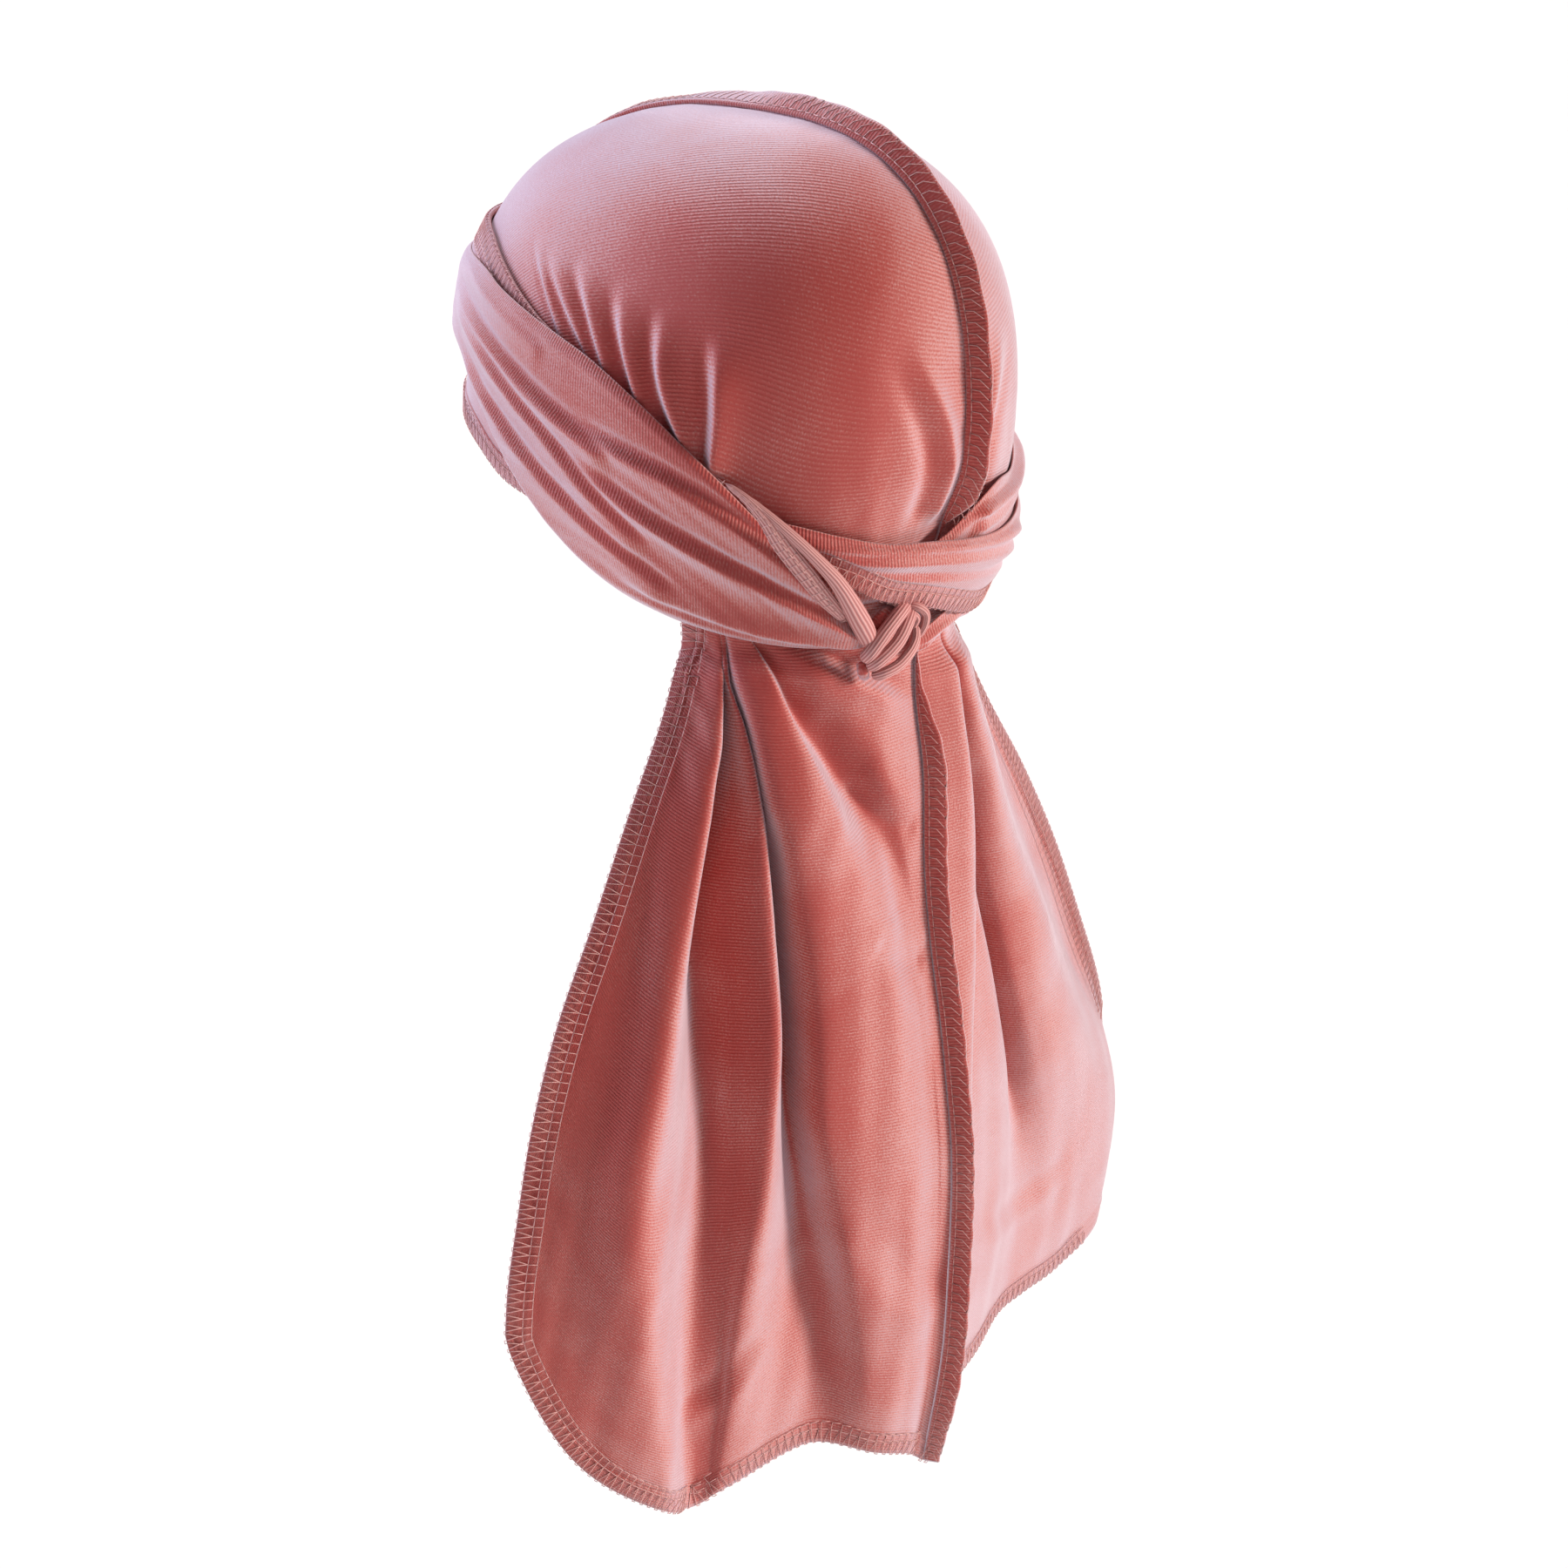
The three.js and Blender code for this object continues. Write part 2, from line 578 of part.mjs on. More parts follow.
// Bands of the knot, each bent over an oval arc between two places. `reach` is how far the arc
// stands out and `tuck` how many degrees it goes on past its ends, back towards the head.
const KNOT_BANDS = [
  {
    name: 'knot_wrap', start: { left: -4, up: 6.2 }, end: { left: 10.5, up: -6 }, reach: 5,
    tuck: 5, halfWidth: 5.4, halfThick: 2.1, sides: 10,
  },
  {
    name: 'knot_loop', start: { left: -11.5, up: 5 }, end: { left: -10.5, up: -7 }, reach: 4,
    tuck: 5, halfWidth: 2.6, halfThick: 2.0, sides: 8,
  },
];

function knotBand({ start, end, reach, tuck, halfWidth, halfThick, sides }) {
  const place = (t) => {
    const angle = radians(180 + tuck - (180 + 2 * tuck) * t);
    const share = (1 + Math.cos(angle)) / 2;
    const left = start.left + (end.left - start.left) * share;
    const up = start.up + (end.up - start.up) * share;
    return knotPlace(left, up, reach * Math.sin(angle));
  };
  const chord = place(1).sub(place(0)).normalize();
  const across = chord.clone().cross(knotPlace(0, 0, 1).sub(knotPlace(0, 0, 0))).normalize();
  return rod(steps(12).map((t) => {
    const along = place(Math.min(t + 0.02, 1)).sub(place(Math.max(t - 0.02, 0))).normalize();
    const out = across.clone().cross(along).normalize();
    return oval(place(t), across, out, halfWidth, halfThick, sides);
  }));
}

// Cut end of the tie, tucked under the knot
const KNOT_TIP = { from: { left: 16.5, up: -7 }, to: { left: 13, up: -15 }, out: 2 };

function knotTip() {
  const from = knotPlace(KNOT_TIP.from.left, KNOT_TIP.from.up, KNOT_TIP.out);
  const to = knotPlace(KNOT_TIP.to.left, KNOT_TIP.to.up, KNOT_TIP.out);
  const along = to.clone().sub(from).normalize();
  const out = knotPlace(0, 0, 1).sub(knotPlace(0, 0, 0));
  const across = along.clone().cross(out).normalize();
  const half = [1.6, 2.6, 2.8, 2.2];
  return rod(half.map((size, i) => {
    const centre = from.clone().lerp(to, i / (half.length - 1));
    return oval(centre, across, out, size, 0.8 * size, 8);
  }));
}

// ---------------------------------------------------------------- tail
// Height of the places along the seam and their distance behind the origin
const TAIL_SEAM = [
  { z: -60, y: 78 },
  { z: -78, y: 74.5 },
  { z: -94, y: 74.5 },
  { z: -120, y: 78.5 },
  { z: -157, y: 80 },
  { z: -182, y: 83 },
  { z: -208, y: 87.5 },
  { z: -233, y: 91 },
  { z: -256, y: 93.5 },
  { z: -305, y: 93 },
  { z: -335, y: 91 },
  { z: -380, y: 83 },
];
// Outer edges of the two halves
const LEFT_EDGE = [
  { z: -58, x: 61, y: 29 },
  { z: -70, x: 62, y: 29 },
  { z: -81, x: 68, y: 31 },
  { z: -96, x: 77, y: 33 },
  { z: -120, x: 93.5, y: 35 },
  { z: -154, x: 112, y: 35 },
  { z: -184, x: 129, y: 35 },
  { z: -214, x: 141, y: 35 },
  { z: -246, x: 147, y: 33 },
  { z: -275, x: 151, y: 31 },
  { z: -380, x: 152, y: 30 },
];
const RIGHT_EDGE = [
  { z: -58, x: 59, y: 32 },
  { z: -75, x: 55, y: 38 },
  { z: -97, x: 56, y: 49 },
  { z: -119, x: 68, y: 51 },
  { z: -150, x: 90, y: 51 },
  { z: -187, x: 112, y: 51 },
  { z: -224, x: 129, y: 51 },
  { z: -261, x: 148, y: 51 },
  { z: -297, x: 159, y: 51 },
  { z: -380, x: 160, y: 51 },
];
// How far the cloth stands round the neck at the gather, beyond the straight line to its edge
const NAPE_BULGE = [
  { z: -60, bulge: 17 },
  { z: -80, bulge: 10.5 },
  { z: -100, bulge: 6 },
  { z: -125, bulge: 3 },
  { z: -165, bulge: 0 },
];

// The straps press the top of the tail to the head and let it hang free below them
const GATHER_LIFT = CLOTH / 2 + CLEAR;
const LEFT_GATHER = { from: -72, to: -84 };
const RIGHT_GATHER = { from: -80, to: -94 };

// Folds of each half from the seam to the outer edge. At each of the heights, `across` is the
// share of the way from the seam to the edge and `proud` how far the fold stands out; hem is the
// height of the lower edge there.
const FOLD_HEIGHTS = [-60, -73, -88, -110, -165, -230, -300, -360];
const LEFT_TAIL_FOLDS = [
  { hem: -380, across: [0, 0, 0, 0, 0, 0, 0, 0], proud: [0, 0, 0, 0, 0, 0, 0, 0] },
  { hem: -375, across: [0.2, 0.24, 0.2, 0.15, 0.06, 0.05, 0.05, 0.06], proud: [0, 1, 6, 7, 2, 2, 1, 0] },
  { hem: -371, across: [0.5, 0.52, 0.42, 0.34, 0.14, 0.1, 0.08, 0.1], proud: [0, 0, 4, 1, 6, 6, 3, 1] },
  { hem: -368, across: [0.66, 0.7, 0.6, 0.48, 0.27, 0.18, 0.14, 0.15], proud: [0, 2, 9, 12, 15, 14, 11, 5] },
  { hem: -359, across: [0.7, 0.74, 0.64, 0.55, 0.39, 0.27, 0.23, 0.27], proud: [0, -1, -6, -9, -9, -8, -4, -1] },
  { hem: -362, across: [0.75, 0.79, 0.73, 0.65, 0.49, 0.47, 0.48, 0.46], proud: [0, 2, 6, 8, 10, 10, 8, 3] },
  { hem: -370, across: [0.79, 0.8, 0.76, 0.7, 0.59, 0.57, 0.56, 0.58], proud: [0, -1, -6, -8, -8, -7, -3, 0] },
  { hem: -350, across: [0.86, 0.86, 0.86, 0.83, 0.76, 0.73, 0.74, 0.74], proud: [0, 2, 7, 10, 14, 17, 17, 9] },
  { hem: -331, across: [0.93, 0.94, 0.94, 0.92, 0.87, 0.86, 0.87, 0.88], proud: [0, 1, 3, 5, 7, 8.5, 8.5, 4.5] },
  { hem: -300, across: [1, 1, 1, 1, 1, 1, 1, 1], proud: [0, 0, 0, 0, 0, 0, 0, 0] },
];
const RIGHT_TAIL_FOLDS = [
  { hem: -380, across: [0, 0, 0, 0, 0, 0, 0, 0], proud: [0, 0, 0, 0, 0, 0, 0, 0] },
  { hem: -377, across: [0.14, 0.16, 0.2, 0.2, 0.2, 0.12, 0.07, 0.07], proud: [0, 0, 1, 5, 5, 4, 0, -4] },
  { hem: -374, across: [0.22, 0.22, 0.24, 0.24, 0.25, 0.22, 0.15, 0.14], proud: [0, 0, -1, -3, 0, 0, -4, -8] },
  { hem: -368, across: [0.3, 0.28, 0.26, 0.27, 0.31, 0.31, 0.25, 0.23], proud: [0, 0, 0, 1, 4, 2, -4, -12] },
  { hem: -362, across: [0.45, 0.44, 0.44, 0.42, 0.42, 0.43, 0.4, 0.38], proud: [0, -1, -3, -7, -8, -9, -12, -18] },
  { hem: -360, across: [0.55, 0.52, 0.42, 0.4, 0.44, 0.53, 0.56, 0.56], proud: [0, 0, 0, 3, 3, 1, -7, -16] },
  { hem: -359, across: [0.65, 0.6, 0.5, 0.48, 0.55, 0.66, 0.74, 0.72], proud: [0, 0, 2, 8, 9, 8, 1, -9] },
  { hem: -350, across: [0.8, 0.8, 0.76, 0.76, 0.8, 0.85, 0.92, 0.88], proud: [0, 0, 2, 5, 6, 6, 4, -3] },
  { hem: -330, across: [1, 1, 1, 1, 1, 1, 0.94, 0.86], proud: [0, 0, 0, 0, 0, 0, -8, -20] },
];

const seamAt = column(TAIL_SEAM, 'z', 'y');

// Point of the tail's middle surface: u runs from the seam to the edge and v from top to hem
function tailPoint(folds, gather, edgeX, edgeY, u, v) {
  const heights = [...FOLD_HEIGHTS].reverse();
  const keys = folds.map((_, i) => i / (folds.length - 1));
  const hem = smooth(keys, folds.map((fold) => fold.hem), u);
  const z = TAIL_TOP + (hem - TAIL_TOP) * v;
  const read = (name) => folds.map((fold) => smooth(heights, [...fold[name]].reverse(), z));
  const across = smooth(keys, read('across'), u);
  const proud = smooth(keys, read('proud'), u);
  const start = vector(SEAM_HALF_GAP + CLOTH / 2, seamAt(z), z);
  const line = vector(edgeX(z), edgeY(z), z).sub(start);
  const out = vector(-line.y, line.x, 0).normalize();
  const bulge = column(NAPE_BULGE, 'z', 'bulge')(z) * 4 * across * (1 - across);
  const hanging = start.addScaledVector(line, across).addScaledVector(out, proud + bulge);
  const azimuth = Math.atan2(hanging.x, hanging.y);
  const held = ringRadius(azimuth, z) + GATHER_LIFT;
  const gathered = vector(held * Math.sin(azimuth), held * Math.cos(azimuth), z);
  gathered.x = Math.max(gathered.x, start.x);
  return gathered.lerp(hanging, ramp(-z, -gather.from, -gather.to));
}

function tailHalf(hand, folds, gather, edge, rows, columns) {
  const edgeX = column(edge, 'z', 'x');
  const edgeY = column(edge, 'z', 'y');
  const point = (u, v) => tailPoint(folds, gather, edgeX, edgeY, u, v);
  const outer = [];
  const inner = [];
  for (const v of steps(rows).map((t) => t ** 1.5)) {   // closer rows in the gather
    const outerRow = [];
    const innerRow = [];
    for (const u of steps(columns)) {
      const across = point(Math.min(u + 0.01, 1), v).sub(point(Math.max(u - 0.01, 0), v));
      const down = point(u, Math.min(v + 0.01, 1)).sub(point(u, Math.max(v - 0.01, 0)));
      const normal = down.cross(across).normalize();
      for (const [row, side] of [[outerRow, 0.5], [innerRow, -0.5]]) {
        const place = point(u, v).addScaledVector(normal, side * CLOTH);
        place.x = hand * Math.max(place.x, SEAM_HALF_GAP);
        row.push(place);
      }
    }
    outer.push(outerRow);
    inner.push(innerRow);
  }
  return wall(outer, inner);
}

function tailSeam() {
  const lean = radians(SEAM_LEAN);
  return strip(steps(30).map((t) => {
    const z = TAIL_SEAM_START + (TAIL_SEAM_END - TAIL_SEAM_START) * t;
    const slope = (seamAt(z - 1) - seamAt(z + 1)) / 2;
    const out = vector(0, 1, slope).normalize();
    const rise = out.clone().multiplyScalar(Math.cos(lean)).addScaledVector(vector(-1, 0, 0), Math.sin(lean));
    const down = vector(0, slope, -1).normalize();
    const beside = rise.clone().cross(down).normalize();
    const foot = vector(0, seamAt(z), z).addScaledVector(out, CLOTH + CLEAR + TAIL_SEAM_STAND);
    const height = (SEAM_HEIGHT - TAIL_SEAM_STAND) * (1 - 0.8 * ramp(t, 0.84, 1));
    return { foot, rise, beside, height, thick: SEAM_THICK };
  }));
}

// ---------------------------------------------------------------- assembly
const group = new THREE.Group();

function add(name, geometry, color, roughness) {
  const material = new THREE.MeshStandardMaterial({ color, roughness, metalness: 0 });
  const mesh = new THREE.Mesh(geometry, material);
  mesh.name = name;
  group.add(mesh);
}

add('crown_left', crownPanel(1, 34, 14, PLEATS), VELVET, 0.85);
add('crown_right', crownPanel(-1, 24, 9, []), VELVET, 0.85);
add('crown_seam', crownSeam(), VELVET, 0.85);
add('front_hem', frontHem(), THREAD, 0.8);
add('strap_left', strap(1, LEFT_STRAP, LEFT_FOLDS, 9.5, 7), VELVET, 0.85);
add('strap_right', strap(-1, RIGHT_STRAP, RIGHT_FOLDS, 9.5, 5), VELVET, 0.85);
add('rolled_edge', rolledEdge(), VELVET_BACK, 0.75);
for (const band of KNOT_BANDS) add(band.name, knotBand(band), VELVET_BACK, 0.75);
add('knot_tip', knotTip(), VELVET_BACK, 0.75);
add('tail_left', tailHalf(1, LEFT_TAIL_FOLDS, LEFT_GATHER, LEFT_EDGE, 14, 20), VELVET, 0.85);
add('tail_right', tailHalf(-1, RIGHT_TAIL_FOLDS, RIGHT_GATHER, RIGHT_EDGE, 14, 18), VELVET, 0.85);
add('tail_seam', tailSeam(), VELVET, 0.85);

export default group;
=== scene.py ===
"""Rose velvet durag, worn and tied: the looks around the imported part.

The cloth is made again here as fine walls with pleats, creases and hems, on the same head form as
the solids and from tables like theirs, in millimetres. Meshes are turned to metres as they are made.
"""
import math

import bpy
import numpy as np
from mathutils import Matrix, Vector


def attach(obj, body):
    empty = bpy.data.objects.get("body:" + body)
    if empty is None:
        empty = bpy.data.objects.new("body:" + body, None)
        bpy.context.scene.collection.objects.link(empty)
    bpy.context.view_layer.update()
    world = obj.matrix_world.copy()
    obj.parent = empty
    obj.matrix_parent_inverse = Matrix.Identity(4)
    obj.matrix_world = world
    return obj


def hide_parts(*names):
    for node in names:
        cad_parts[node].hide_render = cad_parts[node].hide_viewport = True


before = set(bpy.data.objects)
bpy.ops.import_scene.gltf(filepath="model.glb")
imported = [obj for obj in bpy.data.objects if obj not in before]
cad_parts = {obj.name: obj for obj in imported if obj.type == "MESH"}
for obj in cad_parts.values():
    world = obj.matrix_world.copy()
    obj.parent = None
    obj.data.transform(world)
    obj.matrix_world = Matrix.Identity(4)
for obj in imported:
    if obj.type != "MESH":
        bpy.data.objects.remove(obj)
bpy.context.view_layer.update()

MM = 0.001

# ---------------------------------------------------------------- sizes, in millimetres
HEAD_HALF_WIDTH = 76
HEAD_BACK = 93.5
HEAD_FRONT = 99
HEAD_TOP = 87
HEAD_SQUARENESS = 2.2

CLOTH = 1.2           # wall of one layer
LAYER = 1.9           # one layer and the air up to the next
CLEAR = 0.4
SEAM_HEIGHT = 8
TAIL_SEAM_HEIGHT = 7.2
HEM_WIDTH = 8.5
TAIL_TOP = -52
TAIL_SEAM_START = -60
TAIL_SEAM_END = -380


# ---------------------------------------------------------------- small tools
WAVE_COUNT = 5


def curve_tangents(xs, ys):
    """Slope of a smooth curve at each of its points."""
    steps = np.diff(xs).reshape(-1, *[1] * (ys.ndim - 1))
    slopes = np.diff(ys, axis=0) / steps
    return np.concatenate([slopes[:1], (slopes[:-1] + slopes[1:]) / 2, slopes[-1:]])


def curve_between(t, width, values, tangents):
    """Curve at a share t of the way between two points, from their values and slopes."""
    start = (1 + 2 * t) * (1 - t) ** 2 * values[0] + t * (1 - t) ** 2 * width * tangents[0]
    end = t * t * (3 - 2 * t) * values[1] + t * t * (t - 1) * width * tangents[1]
    return start + end


def smooth(xs, ys, x):
    """Smooth curve through the points (xs, ys), flat beyond both ends."""
    order = np.argsort(xs)
    xs = np.asarray(xs, float)[order]
    ys = np.asarray(ys, float)[order]
    tangents = curve_tangents(xs, ys)
    x = np.clip(x, xs[0], xs[-1])
    k = np.clip(np.searchsorted(xs, x) - 1, 0, len(xs) - 2)
    width = xs[k + 1] - xs[k]
    return curve_between((x - xs[k]) / width, width, (ys[k], ys[k + 1]), (tangents[k], tangents[k + 1]))


def column(rows, key, name):
    """A table's column as a function of its key column."""
    xs = [row[key] for row in rows]
    ys = [row[name] for row in rows]
    return lambda x: smooth(xs, ys, x)


def table(names, *rows):
    """Rows of numbers as a list of dicts under the column names."""
    return [dict(zip(names.split(), row)) for row in rows]


def ramp(x, start, end):
    t = np.clip((x - start) / (end - start), 0, 1)
    return t * t * (3 - 2 * t)


def bump(distance, half_width):
    t = np.clip(np.abs(distance) / half_width, 0, 1)
    return np.cos(t * np.pi / 2) ** 2


def unit(vectors):
    return vectors / np.maximum(np.linalg.norm(vectors, axis=-1, keepdims=True), 1e-12)


def waves(x, y, seed):
    """Gentle uneven field between about -1 and 1, from a few crossed waves about one unit long."""
    rng = np.random.default_rng(seed)
    total = 0
    for _ in range(WAVE_COUNT):
        angle = rng.uniform(0, math.tau)
        pitch = rng.uniform(0.7, 1.6)
        phase = rng.uniform(0, math.tau)
        total = total + np.sin(math.tau / pitch * (x * math.cos(angle) + y * math.sin(angle)) + phase)
    return total / WAVE_COUNT


# ---------------------------------------------------------------- the head's form
DOME = {"side": (2.2, 2.0), "back": (2.45, 2.9), "front": (2.8, 2.3)}
LOWER_HEAD = table(
    "z side back front",
    (0, 1, 1, 1),
    (-20, 0.995, 0.98, 1.03),
    (-40, 0.945, 0.93, 1.02),
    (-60, 0.875, 0.84, 0.98),
    (-80, 0.8, 0.74, 0.93),
    (-100, 0.74, 0.66, 0.9),
)
LOWER_SHARES = {way: column(LOWER_HEAD, "z", way) for way in DOME}


def share(z, way):
    rise, bulge = DOME[way]
    upper = np.maximum(1 - (np.clip(z, 0, HEAD_TOP) / HEAD_TOP) ** rise, 1e-9) ** (1 / bulge)
    return np.where(z < 0, LOWER_SHARES[way](z), upper)


def half_axes(z, is_back):
    """Half width and half length of the head's outline at a height."""
    back = HEAD_BACK * share(z, "back")
    front = HEAD_FRONT * share(z, "front")
    return HEAD_HALF_WIDTH * share(z, "side"), np.where(is_back, back, front)


def ring_radius(azimuth, z):
    half, reach = half_axes(z, np.cos(azimuth) > 0)
    n = HEAD_SQUARENESS
    return ((np.abs(np.sin(azimuth)) / half) ** n + (np.abs(np.cos(azimuth)) / reach) ** n) ** (-1 / n)


def on_head(azimuth, z):
    """Place on the head from its azimuth in degrees and its height."""
    azimuth, z = np.broadcast_arrays(np.radians(azimuth), np.asarray(z, float))
    radius = ring_radius(azimuth, z)
    return np.stack([radius * np.sin(azimuth), radius * np.cos(azimuth), z], -1)


BEYOND_HEAD = 160.0     # further out than any place on the head
HALVINGS = 32


def head_along(directions):
    """Places where rays from the origin leave the head."""
    azimuth = np.arctan2(directions[..., 0], directions[..., 1])
    flat = np.hypot(directions[..., 0], directions[..., 1])
    inside = np.zeros(flat.shape)
    outside = np.full(flat.shape, BEYOND_HEAD)
    for _ in range(HALVINGS):
        middle = (inside + outside) / 2
        z = middle * directions[..., 2]
        is_in = (z < HEAD_TOP) & (middle * flat < ring_radius(azimuth, z))
        inside = np.where(is_in, middle, inside)
        outside = np.where(is_in, outside, middle)
    return directions * inside[..., None]


def head_normal(points):
    """Outward normals of the head at places on it."""
    x, y, z = np.moveaxis(points, -1, 0)
    n = HEAD_SQUARENESS
    step = 0.05
    low = np.minimum(z, HEAD_TOP - 2 * step)
    half, reach = half_axes(low, y > 0)
    above = half_axes(low + step, y > 0)
    below = half_axes(low - step, y > 0)
    half_slope = (above[0] - below[0]) / (2 * step)
    reach_slope = (above[1] - below[1]) / (2 * step)
    wide = (np.abs(x) / half) ** n
    long = (np.abs(y) / reach) ** n
    return unit(np.stack([
        np.abs(x) ** (n - 1) * np.sign(x) / half ** n,
        np.abs(y) ** (n - 1) * np.sign(y) / reach ** n,
        -wide * half_slope / half - long * reach_slope / reach,
    ], -1))


# ---------------------------------------------------------------- meshes
def add_object(name, data):
    made = bpy.data.objects.new(name, data)
    bpy.context.scene.collection.objects.link(made)
    return made


def new_piece(name, points, faces, uv, shares=None):
    """Object from points in millimetres; uv is the place in the flat cloth, and shares hold a
    number from 0 to 1 for each point that its material mixes by."""
    mesh = bpy.data.meshes.new(name)
    mesh.from_pydata((np.asarray(points, float) * MM).tolist(), [], faces)
    mesh.polygons.foreach_set("use_smooth", [True] * len(mesh.polygons))
    corners = np.zeros(len(mesh.loops), np.int32)
    mesh.loops.foreach_get("vertex_index", corners)
    layer = mesh.uv_layers.new(name="cloth")
    layer.data.foreach_set("uv", (np.asarray(uv, float)[corners] * MM).ravel())
    for label, values in (shares or {}).items():
        mesh.attributes.new(label, "FLOAT", "POINT").data.foreach_set("value", np.asarray(values, np.float32))
    mesh.update()
    return add_object(name, mesh)


def volume(points, faces):
    """Signed volume of a closed form of triangles and quads."""
    corners = np.array([(face[0], face[k], face[k + 1]) for face in faces for k in range(1, len(face) - 1)])
    a, b, c = (np.asarray(points, float)[corners[:, k]] for k in range(3))
    return (a * np.cross(b, c)).sum() / 6


def outward(points, faces):
    """The same faces, turned to point out of the closed form."""
    return faces if volume(points, faces) > 0 else [tuple(reversed(f)) for f in faces]


def grid_faces(rows, columns, first=0):
    index = first + np.arange(rows * columns).reshape(rows, columns)
    quads = np.stack([index[:-1, :-1], index[1:, :-1], index[1:, 1:], index[:-1, 1:]], -1)
    return [tuple(quad) for quad in quads.reshape(-1, 4).tolist()]


RIM_ROUNDING = 0.35     # how far the rim's middle line stands out, as a share of the wall


def cloth_wall(name, outer, inner, uv, hem=None):
    """Closed wall between two grids of points, with a rounded rim; hem is each place's share of it."""
    rows, columns = outer.shape[:2]
    count = rows * columns
    rim = ([(0, j) for j in range(columns)] + [(i, columns - 1) for i in range(1, rows)]
           + [(rows - 1, j) for j in range(columns - 2, -1, -1)] + [(i, 0) for i in range(rows - 2, 0, -1)])
    rim_index = [i * columns + j for i, j in rim]
    flat_outer = outer.reshape(-1, 3)
    flat_inner = inner.reshape(-1, 3)
    middle = (flat_outer[rim_index] + flat_inner[rim_index]) / 2
    inside = [min(max(i, 1), rows - 2) * columns + min(max(j, 1), columns - 2) for i, j in rim]
    away = unit(middle - (flat_outer[inside] + flat_inner[inside]) / 2)
    middle = middle + away * CLOTH * RIM_ROUNDING
    points = np.concatenate([flat_outer, flat_inner, middle])
    faces = grid_faces(rows, columns)
    faces += [tuple(reversed([k + count for k in face])) for face in grid_faces(rows, columns)]
    for k, here in enumerate(rim_index):
        there = rim_index[(k + 1) % len(rim_index)]
        low = 2 * count + k
        next_low = 2 * count + (k + 1) % len(rim_index)
        faces.append((here, there, next_low, low))
        faces.append((low, next_low, there + count, here + count))
    flat_uv = uv.reshape(-1, 2)
    flat_hem = (np.zeros(outer.shape[:2]) if hem is None else hem).ravel()
    shares = {
        "hem": np.concatenate([flat_hem, 0 * flat_hem, flat_hem[rim_index]]),
        "wrong_side": np.concatenate([0 * flat_hem, 1 + 0 * flat_hem, 0.5 + 0 * flat_hem[rim_index]]),
    }
    return new_piece(name, points, outward(points, faces),
                     np.concatenate([flat_uv, flat_uv, flat_uv[rim_index]]), shares)


def rod(name, rings):
    """Closed rod through rings of points."""
    rings = np.asarray(rings, float)
    count, sides = rings.shape[:2]
    points = np.concatenate([rings.reshape(-1, 3), rings[:1].mean(1), rings[-1:].mean(1)])
    faces = []
    for i in range(count - 1):
        for j in range(sides):
            k = (j + 1) % sides
            faces.append((i * sides + j, (i + 1) * sides + j, (i + 1) * sides + k, i * sides + k))
    for j in range(sides):
        k = (j + 1) % sides
        faces.append((count * sides, j, k))
        faces.append((count * sides + 1, (count - 1) * sides + k, (count - 1) * sides + j))
    along = np.concatenate([[0], np.cumsum(np.linalg.norm(np.diff(rings.mean(1), axis=0), axis=-1))])
    girth = np.linalg.norm(rings[:, 0] - rings.mean(1), axis=-1).mean() * math.tau
    uv = np.stack(np.meshgrid(along, np.arange(sides) / sides * girth, indexing="ij"), -1).reshape(-1, 2)
    uv = np.concatenate([uv, uv[:1], uv[-1:]])
    return new_piece(name, points, outward(points, faces), uv)


def rings_round(line, across, out, wide, thick, sides):
    """Oval rings of points round a line, from their half widths and half thicknesses."""
    angle = np.linspace(0, math.tau, sides, endpoint=False)
    return (line[:, None, :] + across[:, None, :] * (wide[:, None] * np.cos(angle))[..., None]
            + out[:, None, :] * (thick[:, None] * np.sin(angle))[..., None])


def lengths(points, axis):
    """Running length along one axis of a grid of points."""
    step = np.linalg.norm(np.diff(points, axis=axis), axis=-1)
    pad = [(0, 0), (0, 0)]
    pad[axis] = (1, 0)
    return np.pad(np.cumsum(step, axis=axis), pad)


def surface_normals(points):
    """Normals of a grid of points, from its neighbours."""
    down = np.gradient(points, axis=0)
    across = np.gradient(points, axis=1)
    return unit(np.cross(down, across))


def edge_distance(rows_length, columns_length, sides):
    """Distance of each grid point from the hemmed sides, any of top, bottom, first and last."""
    away = {
        "top": rows_length,
        "bottom": rows_length[-1:, :] - rows_length,
        "first": columns_length,
        "last": columns_length[:, -1:] - columns_length,
    }
    return np.minimum.reduce([away[side] for side in sides])


def hem_share(distance):
    return 1 - ramp(distance, HEM_WIDTH - 0.3, HEM_WIDTH + 0.3)


def hem_relief(distance):
    """Turned edge: a little thicker than the cloth, with a groove under each needle line."""
    raised = 0.45 * (1 - ramp(distance, HEM_WIDTH - 0.8, HEM_WIDTH + 0.4))
    grooves = 0.3 * (bump(distance - HEM_WIDTH, 0.9) + bump(distance - HEM_WIDTH + 2.6, 0.8))
    return raised - grooves


# ---------------------------------------------------------------- crown
SEAM_FRONT = -5
SEAM_NAPE = -47
SEAM_HALF_GAP = 0.5
FRONT_EDGE = table("azimuth z", (180, SEAM_FRONT), (150, -7), (134, -12), (122, -20), (108, -24))
SIDE_EDGE = table("azimuth z", (108, -24), (90, -29), (70, -37), (42, -46))
NAPE_EDGE = table("azimuth z", (42, -46), (0, SEAM_NAPE))
CROWN_CUT_TURN = (-14, 78)    # direction of the seam edge in the flat cloth, in degrees below level
NAPE_DRAW = {"depth": 4.5, "azimuth": 24, "start": -12, "end": -38}

